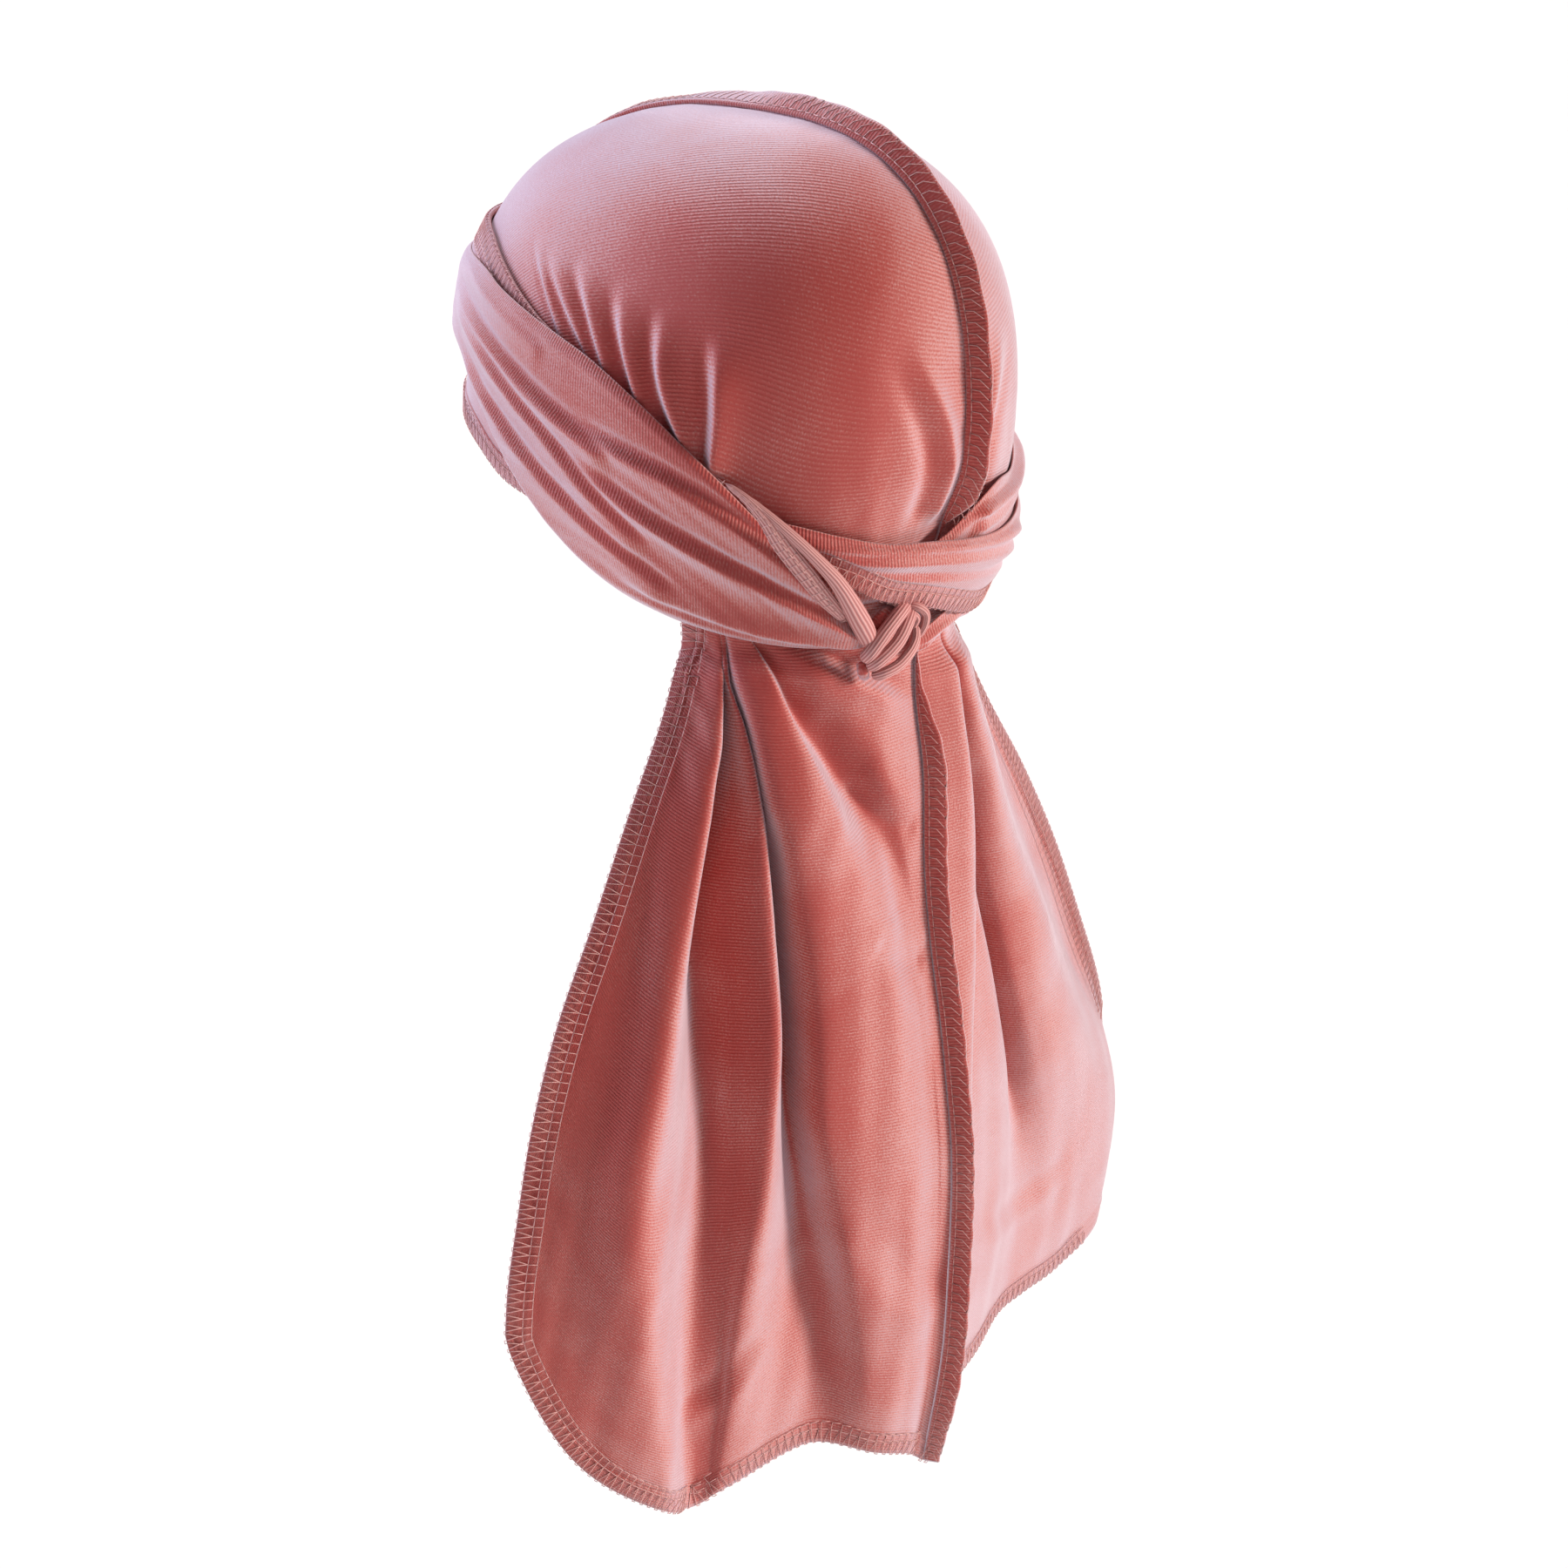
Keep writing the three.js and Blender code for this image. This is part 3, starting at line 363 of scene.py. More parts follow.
# Pleats that fan up from the strap, and one beside the seam at the nape: azimuth and height of the
# foot, the middle and the tip of each crest, its height, and how wide it is to its front and back
PLEATS = table(
    "foot_a foot_z mid_a mid_z tip_a tip_z height front back",
    (92, 15, 106, 36, 121, 52, 1.5, 1.3, 3.2),
    (82, 11, 97, 32.6, 113, 50, 2.2, 1.5, 4.2),
    (76, 4, 88.2, 31.5, 100, 49, 2.8, 1.8, 4.8),
    (66.5, -8, 76.8, 26.2, 82, 44, 3.6, 2.2, 5.4),
    (57.5, -13, 65.7, 15.6, 67.5, 39, 3.9, 2.3, 5.8),
    (54.5, -15, 53.2, 8.5, 53.5, 33, 3.9, 2.4, 6.6),
    (5.4, -36, 5, -7, 14.9, 30, 2.9, 4.2, 3.8),
)


def crease(points, normals, path, height, front, back, fade=(0.12, 0.45)):
    """Height of a fold whose crest runs along a path: steep on its front side, gentle on its back.

    fade is the share of its length over which it rises at the start and dies away at the end.
    """
    starts = path[:-1]
    lines = path[1:] - starts
    sizes = np.linalg.norm(lines, axis=-1)
    run = np.concatenate([[0], np.cumsum(sizes)])
    best = np.full(points.shape[:-1], 1e9)
    along = np.zeros(points.shape[:-1])
    aside = np.zeros(points.shape[:-1])
    for k in range(len(lines)):
        offset = points - starts[k]
        t = (offset @ lines[k]) / sizes[k] ** 2
        held = np.clip(t, 0, 1)
        gap = offset - held[..., None] * lines[k]
        distance = np.linalg.norm(gap, axis=-1)
        side = np.sign((np.cross(lines[k], normals) * gap).sum(-1))
        closer = distance < best
        best = np.where(closer, distance, best)
        along = np.where(closer, run[k] + held * sizes[k], along)
        aside = np.where(closer, side * distance, aside)
    t = along / run[-1]
    strength = ramp(t, 0, fade[0]) * (1 - ramp(t, 1 - fade[1], 1))
    width = np.where(aside > 0, back, front) * (0.75 + 0.5 * t)
    crest = np.exp(-np.abs(aside / width) ** 1.6)
    valley = 0.5 * np.exp(-((aside + 2 * front) / (0.9 * front)) ** 2)
    return height * strength * (crest - valley)


def crest_line(row, count):
    """Smooth run of a fold's two columns, t and z, through its start, middle and end."""
    t = np.linspace(0, 2, count)
    return [smooth(np.arange(3), [row[f"{place}_{axis}"] for place in ("start", "mid", "end")], t)
            for axis in ("t", "z")]


def fine_path(places, count=14):
    """Smooth path over the head through a few (azimuth, height) places."""
    places = np.asarray(places, float)
    keys = np.arange(len(places))
    t = np.linspace(0, len(places) - 1, count)
    return on_head(smooth(keys, places[:, 0], t), smooth(keys, places[:, 1], t))


def nape_draw(points):
    azimuth = np.degrees(np.arctan2(points[..., 0], points[..., 1]))
    drawn = ramp(-points[..., 2], -NAPE_DRAW["start"], -NAPE_DRAW["end"])
    return NAPE_DRAW["depth"] * bump(azimuth, NAPE_DRAW["azimuth"]) * drawn


def edge_direction(rows, t):
    keys = np.linspace(0, 1, len(rows))
    azimuth = smooth(keys, [row["azimuth"] for row in rows], t)
    z = smooth(keys, [row["z"] for row in rows], t)
    return unit(on_head(azimuth, z))


def seam_direction(t):
    start = unit(on_head(180, SEAM_FRONT))
    end = unit(on_head(0, SEAM_NAPE))
    first = math.atan2(start[2], -start[1])
    last = math.atan2(end[2], -end[1]) + math.tau
    angle = first + (last - first) * np.asarray(t, float)
    return np.stack([0 * angle, -np.cos(angle), np.sin(angle)], -1)


def crown_directions(rows, columns):
    u = np.linspace(0, 1, rows)[:, None, None]
    v = np.linspace(0, 1, columns)[None, :, None]
    seam = seam_direction(u[:, :, 0])
    side = edge_direction(SIDE_EDGE, u[:, :, 0])
    front = edge_direction(FRONT_EDGE, v[:, :, 0])
    nape = edge_direction(NAPE_EDGE, 1 - v[:, :, 0])
    corners = (seam_direction(0) * (1 - u) * (1 - v) + edge_direction(SIDE_EDGE, 0) * (1 - u) * v
               + seam_direction(1) * u * (1 - v) + edge_direction(SIDE_EDGE, 1) * u * v)
    return unit(seam * (1 - v) + side * v + front * (1 - u) + nape * u - corners)


def crown_panel(name, hand, pleats, rows, columns):
    base = head_along(crown_directions(rows, columns))
    normals = head_normal(base)
    relief = -nape_draw(base)
    for pleat in pleats:
        path = fine_path([(pleat[f"{p}_a"], pleat[f"{p}_z"]) for p in ("foot", "mid", "tip")])
        relief += crease(base, normals, path, pleat["height"], pleat["front"], pleat["back"])
    along = lengths(base, 0)
    across = lengths(base, 1)
    puckers = np.sin(along / 3.1 + 2 * np.sin(along / 17)) * np.exp(-across / 7)
    relief += 0.18 * puckers * ramp(across, 0, 2) + 0.22 * waves(along / 45, across / 30, 11)
    outer = base + normals * (relief + CLOTH)[..., None]
    inner = base + normals * relief[..., None]
    for side in (outer, inner):
        side[..., 0] = hand * np.maximum(side[..., 0], SEAM_HALF_GAP)
    return cloth_wall(name, outer, inner, flat_places(along[:, 0], across))


def flat_places(seam_length, across):
    """Places in the flat cloth of a crown panel: its seam edge is cut as a curve that turns from the
    forehead down to the nape, so the knitted ribs run level along the side of the head."""
    turn = np.radians(np.linspace(*CROWN_CUT_TURN, len(across)))
    step = np.gradient(seam_length)
    down = np.cumsum(np.sin(turn) * step)[:, None] + across * np.cos(turn)[:, None]
    back = np.cumsum(np.cos(turn) * step)[:, None] - across * np.sin(turn)[:, None]
    return np.stack([down, back], -1)


# ---------------------------------------------------------------- straps
# A strap starts at its own temple, goes back round the nape, up the other side, over the forehead
# and down its own side to the knot. turn is the azimuth on its own side and falls all the way.
LEFT_STRAP = table(
    "turn top bottom lift",
    (106, -8, -30, 2),
    (90, -6, -37, 2),
    (70, -15, -44, 2),
    (54, -22, -42, 2),
    (38, -27, -41, 2),
    (28, -31.5, -46, 2),
    (18, -35.5, -54, 2),
    (8, -37, -58.5, 2.2),
    (-2, -38.5, -62.5, 3),
    (-13, -39.5, -67, 3.6),
    (-26, -38, -68, 3.8),
    (-45, -32, -67, 3.4),
    (-65, -18, -60, 3),
    (-85, 2, -48, 3),
    (-105, 20, -28, 3),
    (-125, 31, -6, 3),
    (-150, 37, 10, 2.6),
    (-180, 38, 15, 2.3),
    (-208, 38, 14, 2.3),
    (-229, 36.5, 5, 2.6),
    (-239, 33, -7, 2.8),
    (-248, 30, -21, 3),
    (-256, 27, -33, 3),
    (-264, 24, -43, 3),
    (-277, 18, -53, 3),
    (-292, 6, -60, 3),
    (-306, -11, -64.5, 3),
    (-316, -26, -67, 3),
    (-325, -42, -68.8, 3),
    (-333, -56, -69.6, 3),
    (-340, -63, -70, 3),
    (-344, -65, -70, 3),
)
RIGHT_STRAP = table(
    "turn top bottom lift",
    (106, -8, -30, 1),
    (80, -2, -34, 1),
    (60, -8, -38, 1),
    (40, -18, -42, 1),
    (26, -25, -44, 1),
    (14, -25, -46, 1),
    (5, -31, -50, 1),
    (-3, -38, -54, 1),
    (-20, -44, -57, 1),
    (-50, -36, -56, 1),
    (-70, -22, -50, 1),
    (-84, 0, -44, 1),
    (-93, 15, -36, 1),
    (-99, 23, -28, 1),
    (-107, 28, -12, 1),
    (-116, 33.5, 2, 1),
    (-127, 40, 12, 1),
    (-140, 46, 18, 1),
    (-160, 48, 20, 1),
    (-180, 47, 20, 1),
    (-210, 43, 16, 1),
    (-228, 38, 8, 1.4),
    (-242, 33, -8, 2),
    (-256, 27, -31, 2),
    (-266, 22, -44, 2),
    (-278, 15, -53, 2),
    (-292, 4, -60, 2),
    (-306, -14, -65, 2),
    (-318, -34, -70, 2),
    (-328, -53, -75, 2.3),
    (-337, -59, -75, 2.3),
    (-345, -62, -72, 2.3),
    (-353, -65.5, -73.5, 2.6),
    (-360, -69, -76.5, 3.1),
    (-364, -71, -78.5, 3.4),
)

# Folds along a strap: turn and height of the crest at its start, middle and end, its height, and
# how wide it is towards the strap's top and towards its bottom
LEFT_CREASES = table(
    "start_t start_z mid_t mid_z end_t end_z height upper lower",
    (-220, 36, -240, 28, -262, 18, 0.9, 1.3, 3.0),
    (-212, 31, -246, 13, -284, -12, 2.3, 1.7, 4.6),
    (-216, 27, -250, 4, -292, -38, 2.0, 1.6, 5.0),
    (-220, 18, -254, -15, -298, -53, 1.8, 1.7, 5.4),
    (-258, 4, -303, -18.5, -340, -64, 2.6, 1.8, 5.0),
    (-268, -10, -310, -41, -342, -67, 2.8, 1.7, 4.6),
    (-344, -68, -318, -62.8, -276, -45, 1.9, 1.4, 4.6),
    (40, -30, 24, -35.2, -28, -42, 2.2, 1.4, 3.6),
    (40, -34, 24, -39.5, -34, -50, 1.8, 1.4, 3.4),
    (34, -38, 16, -47, -40, -59, 0.8, 1.4, 3.0),
)
RIGHT_CREASES = table(
    "start_t start_z mid_t mid_z end_t end_z height upper lower",
    (56, -14, 30, -27, 4, -33, 3.2, 1.8, 3.4),
    (56, -24, 30, -33, 4, -38, 2.6, 1.8, 3.4),
    (50, -32, 30, -38, 6, -42, 2.0, 1.6, 3.0),
    (-100, 19, -140, 40, -180, 42, 0.8, 1.5, 3.0),
    (-318, -45, -338, -63, -364, -73.5, 1.6, 1.2, 2.2),
    (-318, -55, -338, -68, -364, -76, 1.4, 1.2, 2.2),
)
SIDE_MM_PER_DEGREE = 1.5      # round the head, at the height of the straps
CREASE_REACH = 20             # a fold moves the cloth no further than this past its ends
STRAP_EDGE = 0.55             # thickness at a raw edge
STRAP_DIP = 0.9               # how far the valleys between folds may sink


def strap(name, hand, rows_table, creases, columns, hems, hem_shown):
    top = column(rows_table, "turn", "top")
    bottom = column(rows_table, "turn", "bottom")
    layers = column(rows_table, "turn", "lift")
    first, last = rows_table[0]["turn"], rows_table[-1]["turn"]
    turn = np.linspace(first, last, first - last + 1)[:, None]
    place = np.linspace(0, 1, columns)[None, :]
    z = top(turn) + (bottom(turn) - top(turn)) * place
    base = on_head(hand * turn, z)
    normals = head_normal(base)
    lift = layers(turn) * LAYER
    flat = np.stack([np.broadcast_to(turn * SIDE_MM_PER_DEGREE, z.shape), z, 0 * z], -1)
    upright = np.zeros(flat.shape)
    upright[..., 2] = -1
    relief = np.zeros(z.shape)
    for row in creases:
        at, height = crest_line(row, 13)
        path = np.stack([at * SIDE_MM_PER_DEGREE, height, 0 * at], -1)
        fade = (0.35, 0.08) if row["start_t"] > row["end_t"] else (0.08, 0.35)
        round_head = turn[:, 0] * SIDE_MM_PER_DEGREE
        near = ((round_head > path[:, 0].min() - CREASE_REACH)
                & (round_head < path[:, 0].max() + CREASE_REACH))
        relief[near] += crease(flat[near], upright[near], path, row["height"],
                               row["upper"], row["lower"], fade)
    along = lengths(base, 0)
    across = lengths(base, 1)
    relief += 0.35 * waves(along / 60, across / 7, 23)
    from_edge = np.minimum(across, across[:, -1:] - across)
    distance = edge_distance(along, across, hems) + 30 * (1 - hem_shown(turn))
    relief = (np.maximum(relief, -STRAP_DIP) + STRAP_DIP) * ramp(from_edge, -0.5, 3.5)
    relief = relief * ramp(distance, HEM_WIDTH - 1.5, HEM_WIDTH + 1.5)
    rounded = np.maximum(ramp(from_edge, 0, 2), hem_share(distance))
    thickness = STRAP_EDGE + (CLOTH - STRAP_EDGE) * rounded + relief + hem_relief(distance)
    outer = base + normals * (lift + thickness)[..., None]
    inner = base + normals * (lift + 0 * z)[..., None]
    uv = np.stack([along.mean(1, keepdims=True) + 0 * across, across], -1)
    return cloth_wall(name, outer, inner, uv, hem_share(distance)), outer, normals


# ---------------------------------------------------------------- tail
TAIL_SEAM = table(
    "z y",
    (-60, 78), (-78, 74.5), (-94, 74.5), (-120, 78.5), (-157, 80), (-182, 83), (-208, 87.5),
    (-233, 91), (-256, 93.5), (-305, 93), (-335, 91), (-380, 83),
)
LEFT_EDGE = table(
    "z x y",
    (-58, 61, 29), (-70, 62, 29), (-81, 68, 31), (-96, 77, 33), (-120, 93.5, 35), (-154, 112, 35),
    (-184, 129, 35), (-214, 141, 35), (-246, 147, 33), (-275, 151, 31), (-380, 152, 30),
)
RIGHT_EDGE = table(
    "z x y",
    (-58, 59, 32), (-75, 55, 38), (-97, 56, 49), (-119, 68, 51), (-150, 90, 51), (-187, 112, 51),
    (-224, 129, 51), (-261, 148, 51), (-297, 159, 51), (-380, 160, 51),
)
NAPE_BULGE = table("z bulge", (-60, 17), (-80, 10.5), (-100, 6), (-125, 3), (-165, 0))
GATHER_LIFT = CLOTH / 2 + CLEAR
TAIL_ROW_SPACING = 1.25     # above 1, rows of points lie closer together towards the top
LEFT_GATHER = (-68, -82)
RIGHT_GATHER = (-78, -92)
HEM_CORNER = 9        # how much the lower outer corners are rounded off
CORNER_START = 0.9    # where that starts, as a share of the width

# Folds of each half, one a row, from the seam to the outer edge: across is the share of the way to
# the edge and proud how far the fold stands out, both at each of the heights; hem is the lower edge
FOLD_HEIGHTS = [-66, -80, -95, -115, -150, -190, -235, -300, -365]
LEFT_TAIL_FOLDS = table(
    "hem across proud",
    (-380, [0, 0, 0, 0, 0, 0, 0, 0, 0], [0, 0, 0, 0, 0, 0, 0, 0, 0]),
    (-378, [0.5, 0.45, 0.3, 0.17, 0.06, 0.03, 0.025, 0.02, 0.015], [1, 3, 5, 5, 2, 1, 1, 0, 0]),
    (-376, [0.77, 0.63, 0.515, 0.345, 0.13, 0.07, 0.05, 0.045, 0.03], [0, 0, 0, -1, 3, 4, 2, 1, 0]),
    (-372, [0.79, 0.67, 0.565, 0.43, 0.28, 0.17, 0.15, 0.11, 0.07],
     [1.5, 6.5, 11, 14, 14, 11.5, 8.5, 5.5, 3]),
    (-367, [0.836, 0.783, 0.696, 0.597, 0.45, 0.355, 0.32, 0.235, 0.15],
     [1, 5.5, 9.5, 13, 14, 12, 9.5, 7, 4]),
    (-360, [0.845, 0.8, 0.712, 0.616, 0.487, 0.4, 0.37, 0.31, 0.29],
     [-0.5, -1.5, -3, -4.5, -7, -7.5, -6.5, -5, -3]),
    (-364, [0.862, 0.825, 0.735, 0.64, 0.53, 0.46, 0.45, 0.485, 0.5], [1, 4, 7, 9, 11, 11, 9, 6, 3]),
    (-369, [0.868, 0.83, 0.765, 0.69, 0.625, 0.54, 0.515, 0.53, 0.55], [0.5, 1.5, 3, 2, 1, 1, 1, 2, 1]),
    (-370, [0.872, 0.835, 0.79, 0.745, 0.7, 0.62, 0.585, 0.61, 0.6], [-0.5, -2, -4, -6, -8, -8, -5, 0, 1]),
    (-362, [0.885, 0.85, 0.82, 0.8, 0.777, 0.755, 0.766, 0.73, 0.68], [2, 5, 8, 11, 14.5, 18, 19.5, 16, 9]),
    (-337, [0.94, 0.93, 0.92, 0.91, 0.89, 0.88, 0.88, 0.87, 0.86], [1, 2, 3, 5, 7, 8.5, 9.5, 8, 4.5]),
    (-296, [1, 1, 1, 1, 1, 1, 1, 1, 1], [0, 0, 0, 0, 0, 0, 0, 0, 0]),
)
RIGHT_TAIL_FOLDS = table(
    "hem across proud",
    (-380, [0, 0, 0, 0, 0, 0, 0, 0, 0], [0, 0, 0, 0, 0, 0, 0, 0, 0]),
    (-378, [0.2, 0.22, 0.24, 0.215, 0.225, 0.155, 0.08, 0.07, 0.06], [1, 3, 6, 8, 8.5, 7, 4, 0, -6]),
    (-375, [0.24, 0.25, 0.265, 0.25, 0.27, 0.24, 0.15, 0.14, 0.13], [0, 0, -3, -5, -4, -3, -5, -8, -10]),
    (-370, [0.26, 0.265, 0.285, 0.29, 0.36, 0.36, 0.4, 0.38, 0.36], [0, 0, -2, -3, -1, 0, -3, -8, -12]),
    (-364, [0.27, 0.275, 0.295, 0.32, 0.385, 0.42, 0.47, 0.5, 0.5],
     [0, -1.5, -5, -9, -12, -13, -12, -10, -14]),
    (-362, [0.275, 0.28, 0.3, 0.335, 0.395, 0.435, 0.49, 0.6, 0.6], [0.5, 1, 2, 3, 4, 4, 3, -4, -12]),
    (-360, [0.34, 0.36, 0.4, 0.45, 0.52, 0.6, 0.67, 0.76, 0.74], [1, 3, 6.5, 9, 10.5, 10.5, 9, 2, -8]),
    (-349, [0.8, 0.8, 0.8, 0.78, 0.8, 0.85, 0.89, 0.92, 0.88], [0, 0, 0, 0, -1, -2, -1, 2, -4]),
    (-326, [1, 1, 1, 1, 1, 1, 1, 0.94, 0.86], [0, 0, 0, 0, 0, 0, 0, -7, -18]),
)
# Creases across the folds: across and height of the crest at its start, middle and end, its height,
# and how wide it is above and below
LEFT_TAIL_CREASES = table(
    "start_t start_z mid_t mid_z end_t end_z height upper lower",
    (0.7, -71, 0.45, -79, -0.06, -101, 4.2, 2.4, 9.0),
    (0.02, -142, 0.14, -135, 0.3, -121, -1.1, 5.0, 5.0),
    (0.02, -188, 0.12, -182, 0.2, -172, -1.2, 4.0, 4.0),
    (0.3, -268, 0.2, -300, 0.02, -322, 1.1, 7.0, 10.0),
    (0.42, -308, 0.5, -326, 0.62, -338, 1.0, 4.0, 7.0),
)
RIGHT_TAIL_CREASES = table(
    "start_t start_z mid_t mid_z end_t end_z height upper lower",
    (0.1, -300, 0.4, -322, 0.7, -318, 1.2, 5.0, 8.0),
)
seam_at = column(TAIL_SEAM, "z", "y")


def tail_points(folds, gather, edge, creases, u, v):
    """Middle surface of a half: u runs from the seam to the edge and v from top to hem."""
    keys = np.linspace(0, 1, len(folds))
    edge_x, edge_y = column(edge, "z", "x"), column(edge, "z", "y")
    into_corner = np.clip((u - CORNER_START) / (1 - CORNER_START), 0, 1)
    hem = smooth(keys, [fold["hem"] for fold in folds], u)
    hem = hem + HEM_CORNER * (1 - np.sqrt(1.0001 - into_corner ** 2)) * ramp(u, CORNER_START, 1)
    z = TAIL_TOP + (hem - TAIL_TOP) * v
    across, proud = (
        blend_folds(keys, np.stack([smooth(FOLD_HEIGHTS, fold[name], z) for fold in folds]), u)
        for name in ("across", "proud"))
    start = np.stack([SEAM_HALF_GAP + 0.05 + 0 * z, seam_at(z), z], -1)
    line = np.stack([edge_x(z), edge_y(z), z], -1) - start
    width = np.linalg.norm(line, axis=-1)
    flat = np.stack([across * width, z, 0 * z], -1)
    upright = np.zeros(flat.shape)
    upright[..., 2] = 1
    for row in creases:
        at, height = crest_line(row, 15)
        reach = np.hypot(edge_x(height), edge_y(height) - seam_at(height))
        path = np.stack([at * reach, height, 0 * at], -1)
        if row["end_t"] < row["start_t"]:
            path = path[::-1]
        fold = crease(flat, upright, path, row["height"], row["upper"], row["lower"], (0.15, 0.15))
        proud = proud + fold * ramp(u, 0, 0.05)      # the seam holds its edge down
    out = unit(np.stack([-line[..., 1], line[..., 0], 0 * z], -1))
    bulge = column(NAPE_BULGE, "z", "bulge")(z) * 4 * across * (1 - across)
    hanging = start + line * across[..., None] + out * (proud + bulge)[..., None]
    azimuth = np.arctan2(hanging[..., 0], hanging[..., 1])
    held = ring_radius(azimuth, z) + GATHER_LIFT + np.clip(0.5 * proud + 0.5, 0, 2.2) * ramp(-z, 61, 70)
    gathered = np.stack([np.hypot(held * np.sin(azimuth), start[..., 0]), held * np.cos(azimuth), z], -1)
    free = ramp(-z, -gather[0], -gather[1])[..., None]
    return gathered + (hanging - gathered) * free


def blend_folds(keys, values, u):
    """Smooth curve through one value for each fold, at every point of the grid."""
    width = keys[1] - keys[0]
    k = np.clip((u / width).astype(int), 0, len(keys) - 2) + np.zeros(values.shape[1:], int)
    ends = [[np.take_along_axis(rows, at[None], 0)[0] for at in (k, k + 1)]
            for rows in (values, curve_tangents(keys, values))]
    return curve_between(u / width - k, width, *ends)


def tail_half(name, hand, folds, gather, edge, creases, rows, columns):
    v = np.linspace(0, 1, rows)[:, None] ** TAIL_ROW_SPACING
    u = np.linspace(0, 1, columns)[None, :]
    u = u + 0 * v
    v = v + 0 * u
    middle = tail_points(folds, gather, edge, creases, u, v)
    normals = -surface_normals(middle)
    along = lengths(middle, 0)
    across = lengths(middle, 1)
    relief = 0.5 * waves(across / 16, along / 120, 5) * ramp(across, 2, 20)
    distance = edge_distance(along, across, ("bottom", "last"))
    relief = relief * ramp(distance, 0, 14)
    middle = middle + normals * relief[..., None]
    outer = middle + normals * (CLOTH / 2 + hem_relief(distance))[..., None]
    inner = middle - normals * (CLOTH / 2)
    for side in (outer, inner):
        side[..., 0] = hand * np.maximum(side[..., 0], SEAM_HALF_GAP)
    normals[..., 0] *= hand
    uv = np.stack([along.mean(1, keepdims=True) + 0 * across, across], -1)
    return cloth_wall(name, outer, inner, uv, hem_share(distance)), outer, normals


# ---------------------------------------------------------------- raised seams and front hem
CROWN_SEAM_LEAN = table(
    "t lean", (0.24, 82), (0.38, 76), (0.46, 58), (0.56, 42), (0.7, 32), (0.85, 26), (1, 30),
)
CROWN_SEAM_SPAN = (0.17, 0.995)
SEAM_THICK = 1.7
TAIL_SEAM_LEAN = 32
TO_RIGHT = np.array([-1.0, 0, 0])


def raised_strip(name, foot, root, rise, beside, height, thick):
    """Folded cloth edge that stands on a path, with a rounded top and a root between the panels."""
    profile = [(-0.5, 0.04), (-0.5, 0.3), (-0.5, 0.6), (-0.46, 0.85), (-0.3, 0.96), (0, 1),
               (0.3, 0.96), (0.46, 0.85), (0.5, 0.6), (0.5, 0.3), (0.5, 0.06), (0.45, -0.07), (0.2, -0.08)]
    rings = [foot + beside * side * thick + rise * (up * height)[:, None] for side, up in profile]
    aside = np.sign(beside[len(beside) // 2, 0]) * np.array([0.06, 0, 0])
    rings += [root + aside, root - aside, foot - beside * 0.2 * thick]
    return rod(name, np.stack(rings, 1))


def fin_height(t, full, low, rise, end, fall):
    """Height of a raised seam that starts low, rises to its full height and falls off at its end."""
    return full * (low + (1 - low) * ramp(t, *rise)) * (1 - (1 - end) * ramp(t, *fall))


def crown_seam_frame(count):
    run = np.linspace(0, 1, count)
    t = CROWN_SEAM_SPAN[0] + (CROWN_SEAM_SPAN[1] - CROWN_SEAM_SPAN[0]) * run
    lean = np.radians(column(CROWN_SEAM_LEAN, "t", "lean")(t) + 2.5 * np.sin(t * 61) + 2 * np.sin(t * 23))
    base = head_along(seam_direction(t))
    tangent = unit(-np.gradient(base, axis=0))
    normals = unit(np.cross(TO_RIGHT, tangent))
    rise = normals * np.cos(lean)[:, None] + TO_RIGHT * np.sin(lean)[:, None]
    beside = unit(np.cross(rise, tangent))
    seat = CLOTH + 0.3 + SEAM_THICK / 2 * np.maximum(np.sin(lean) - 0.25, 0)
    foot = base + normals * (seat - nape_draw(base))[:, None]
    height = fin_height(run, SEAM_HEIGHT, low=0.06, rise=(0, 0.12), end=0.12, fall=(0.925, 0.975))
    root = base + normals * (0.5 - nape_draw(base))[:, None]
    return foot, root, rise, beside, height + 0.2 * np.sin(t * 140)


def tail_seam_frame(count):
    t = np.linspace(0, 1, count)
    z = TAIL_SEAM_START + (TAIL_SEAM_END - TAIL_SEAM_START) * t
    slope = (seam_at(z - 1) - seam_at(z + 1)) / 2
    out = unit(np.stack([0 * z, 1 + 0 * z, slope], -1))
    lean = np.radians(TAIL_SEAM_LEAN + 3 * np.sin(t * 31) + 2 * np.sin(t * 13))
    rise = out * np.cos(lean)[:, None] + TO_RIGHT * np.sin(lean)[:, None]
    down = unit(np.stack([0 * z, slope, -1 + 0 * z], -1))
    beside = unit(np.cross(down, rise))
    foot = np.stack([0 * z, seam_at(z), z], -1) + out * (CLOTH / 2 + 0.75)
    height = fin_height(t, TAIL_SEAM_HEIGHT, low=0.08, rise=(0.06, 0.19), end=0.75, fall=(0.9, 1))
    root = np.stack([0 * z, seam_at(z), z], -1)
    return foot, root, rise, beside, height + 0.2 * np.sin(t * 170)


def front_hem_grid(rows, columns):
    """Strip across the forehead: its grid of places, from temple to temple."""
    t = np.linspace(0, 1, columns)
    hand = np.where(t < 0.5, -1, 1)
    reach = FRONT_EDGE[0]["azimuth"] - FRONT_EDGE[-1]["azimuth"]
    azimuth = 180 - np.abs(2 * t - 1) * reach
    z = column(FRONT_EDGE, "azimuth", "z")(azimuth) - CLEAR
    down = np.linspace(0, 1, rows)[:, None]
    base = on_head(azimuth[None, :] + 0 * down, z[None, :] - HEM_WIDTH * down)
    normals = head_normal(base)
    base[..., 0] *= hand
    normals[..., 0] *= hand
    return base, normals


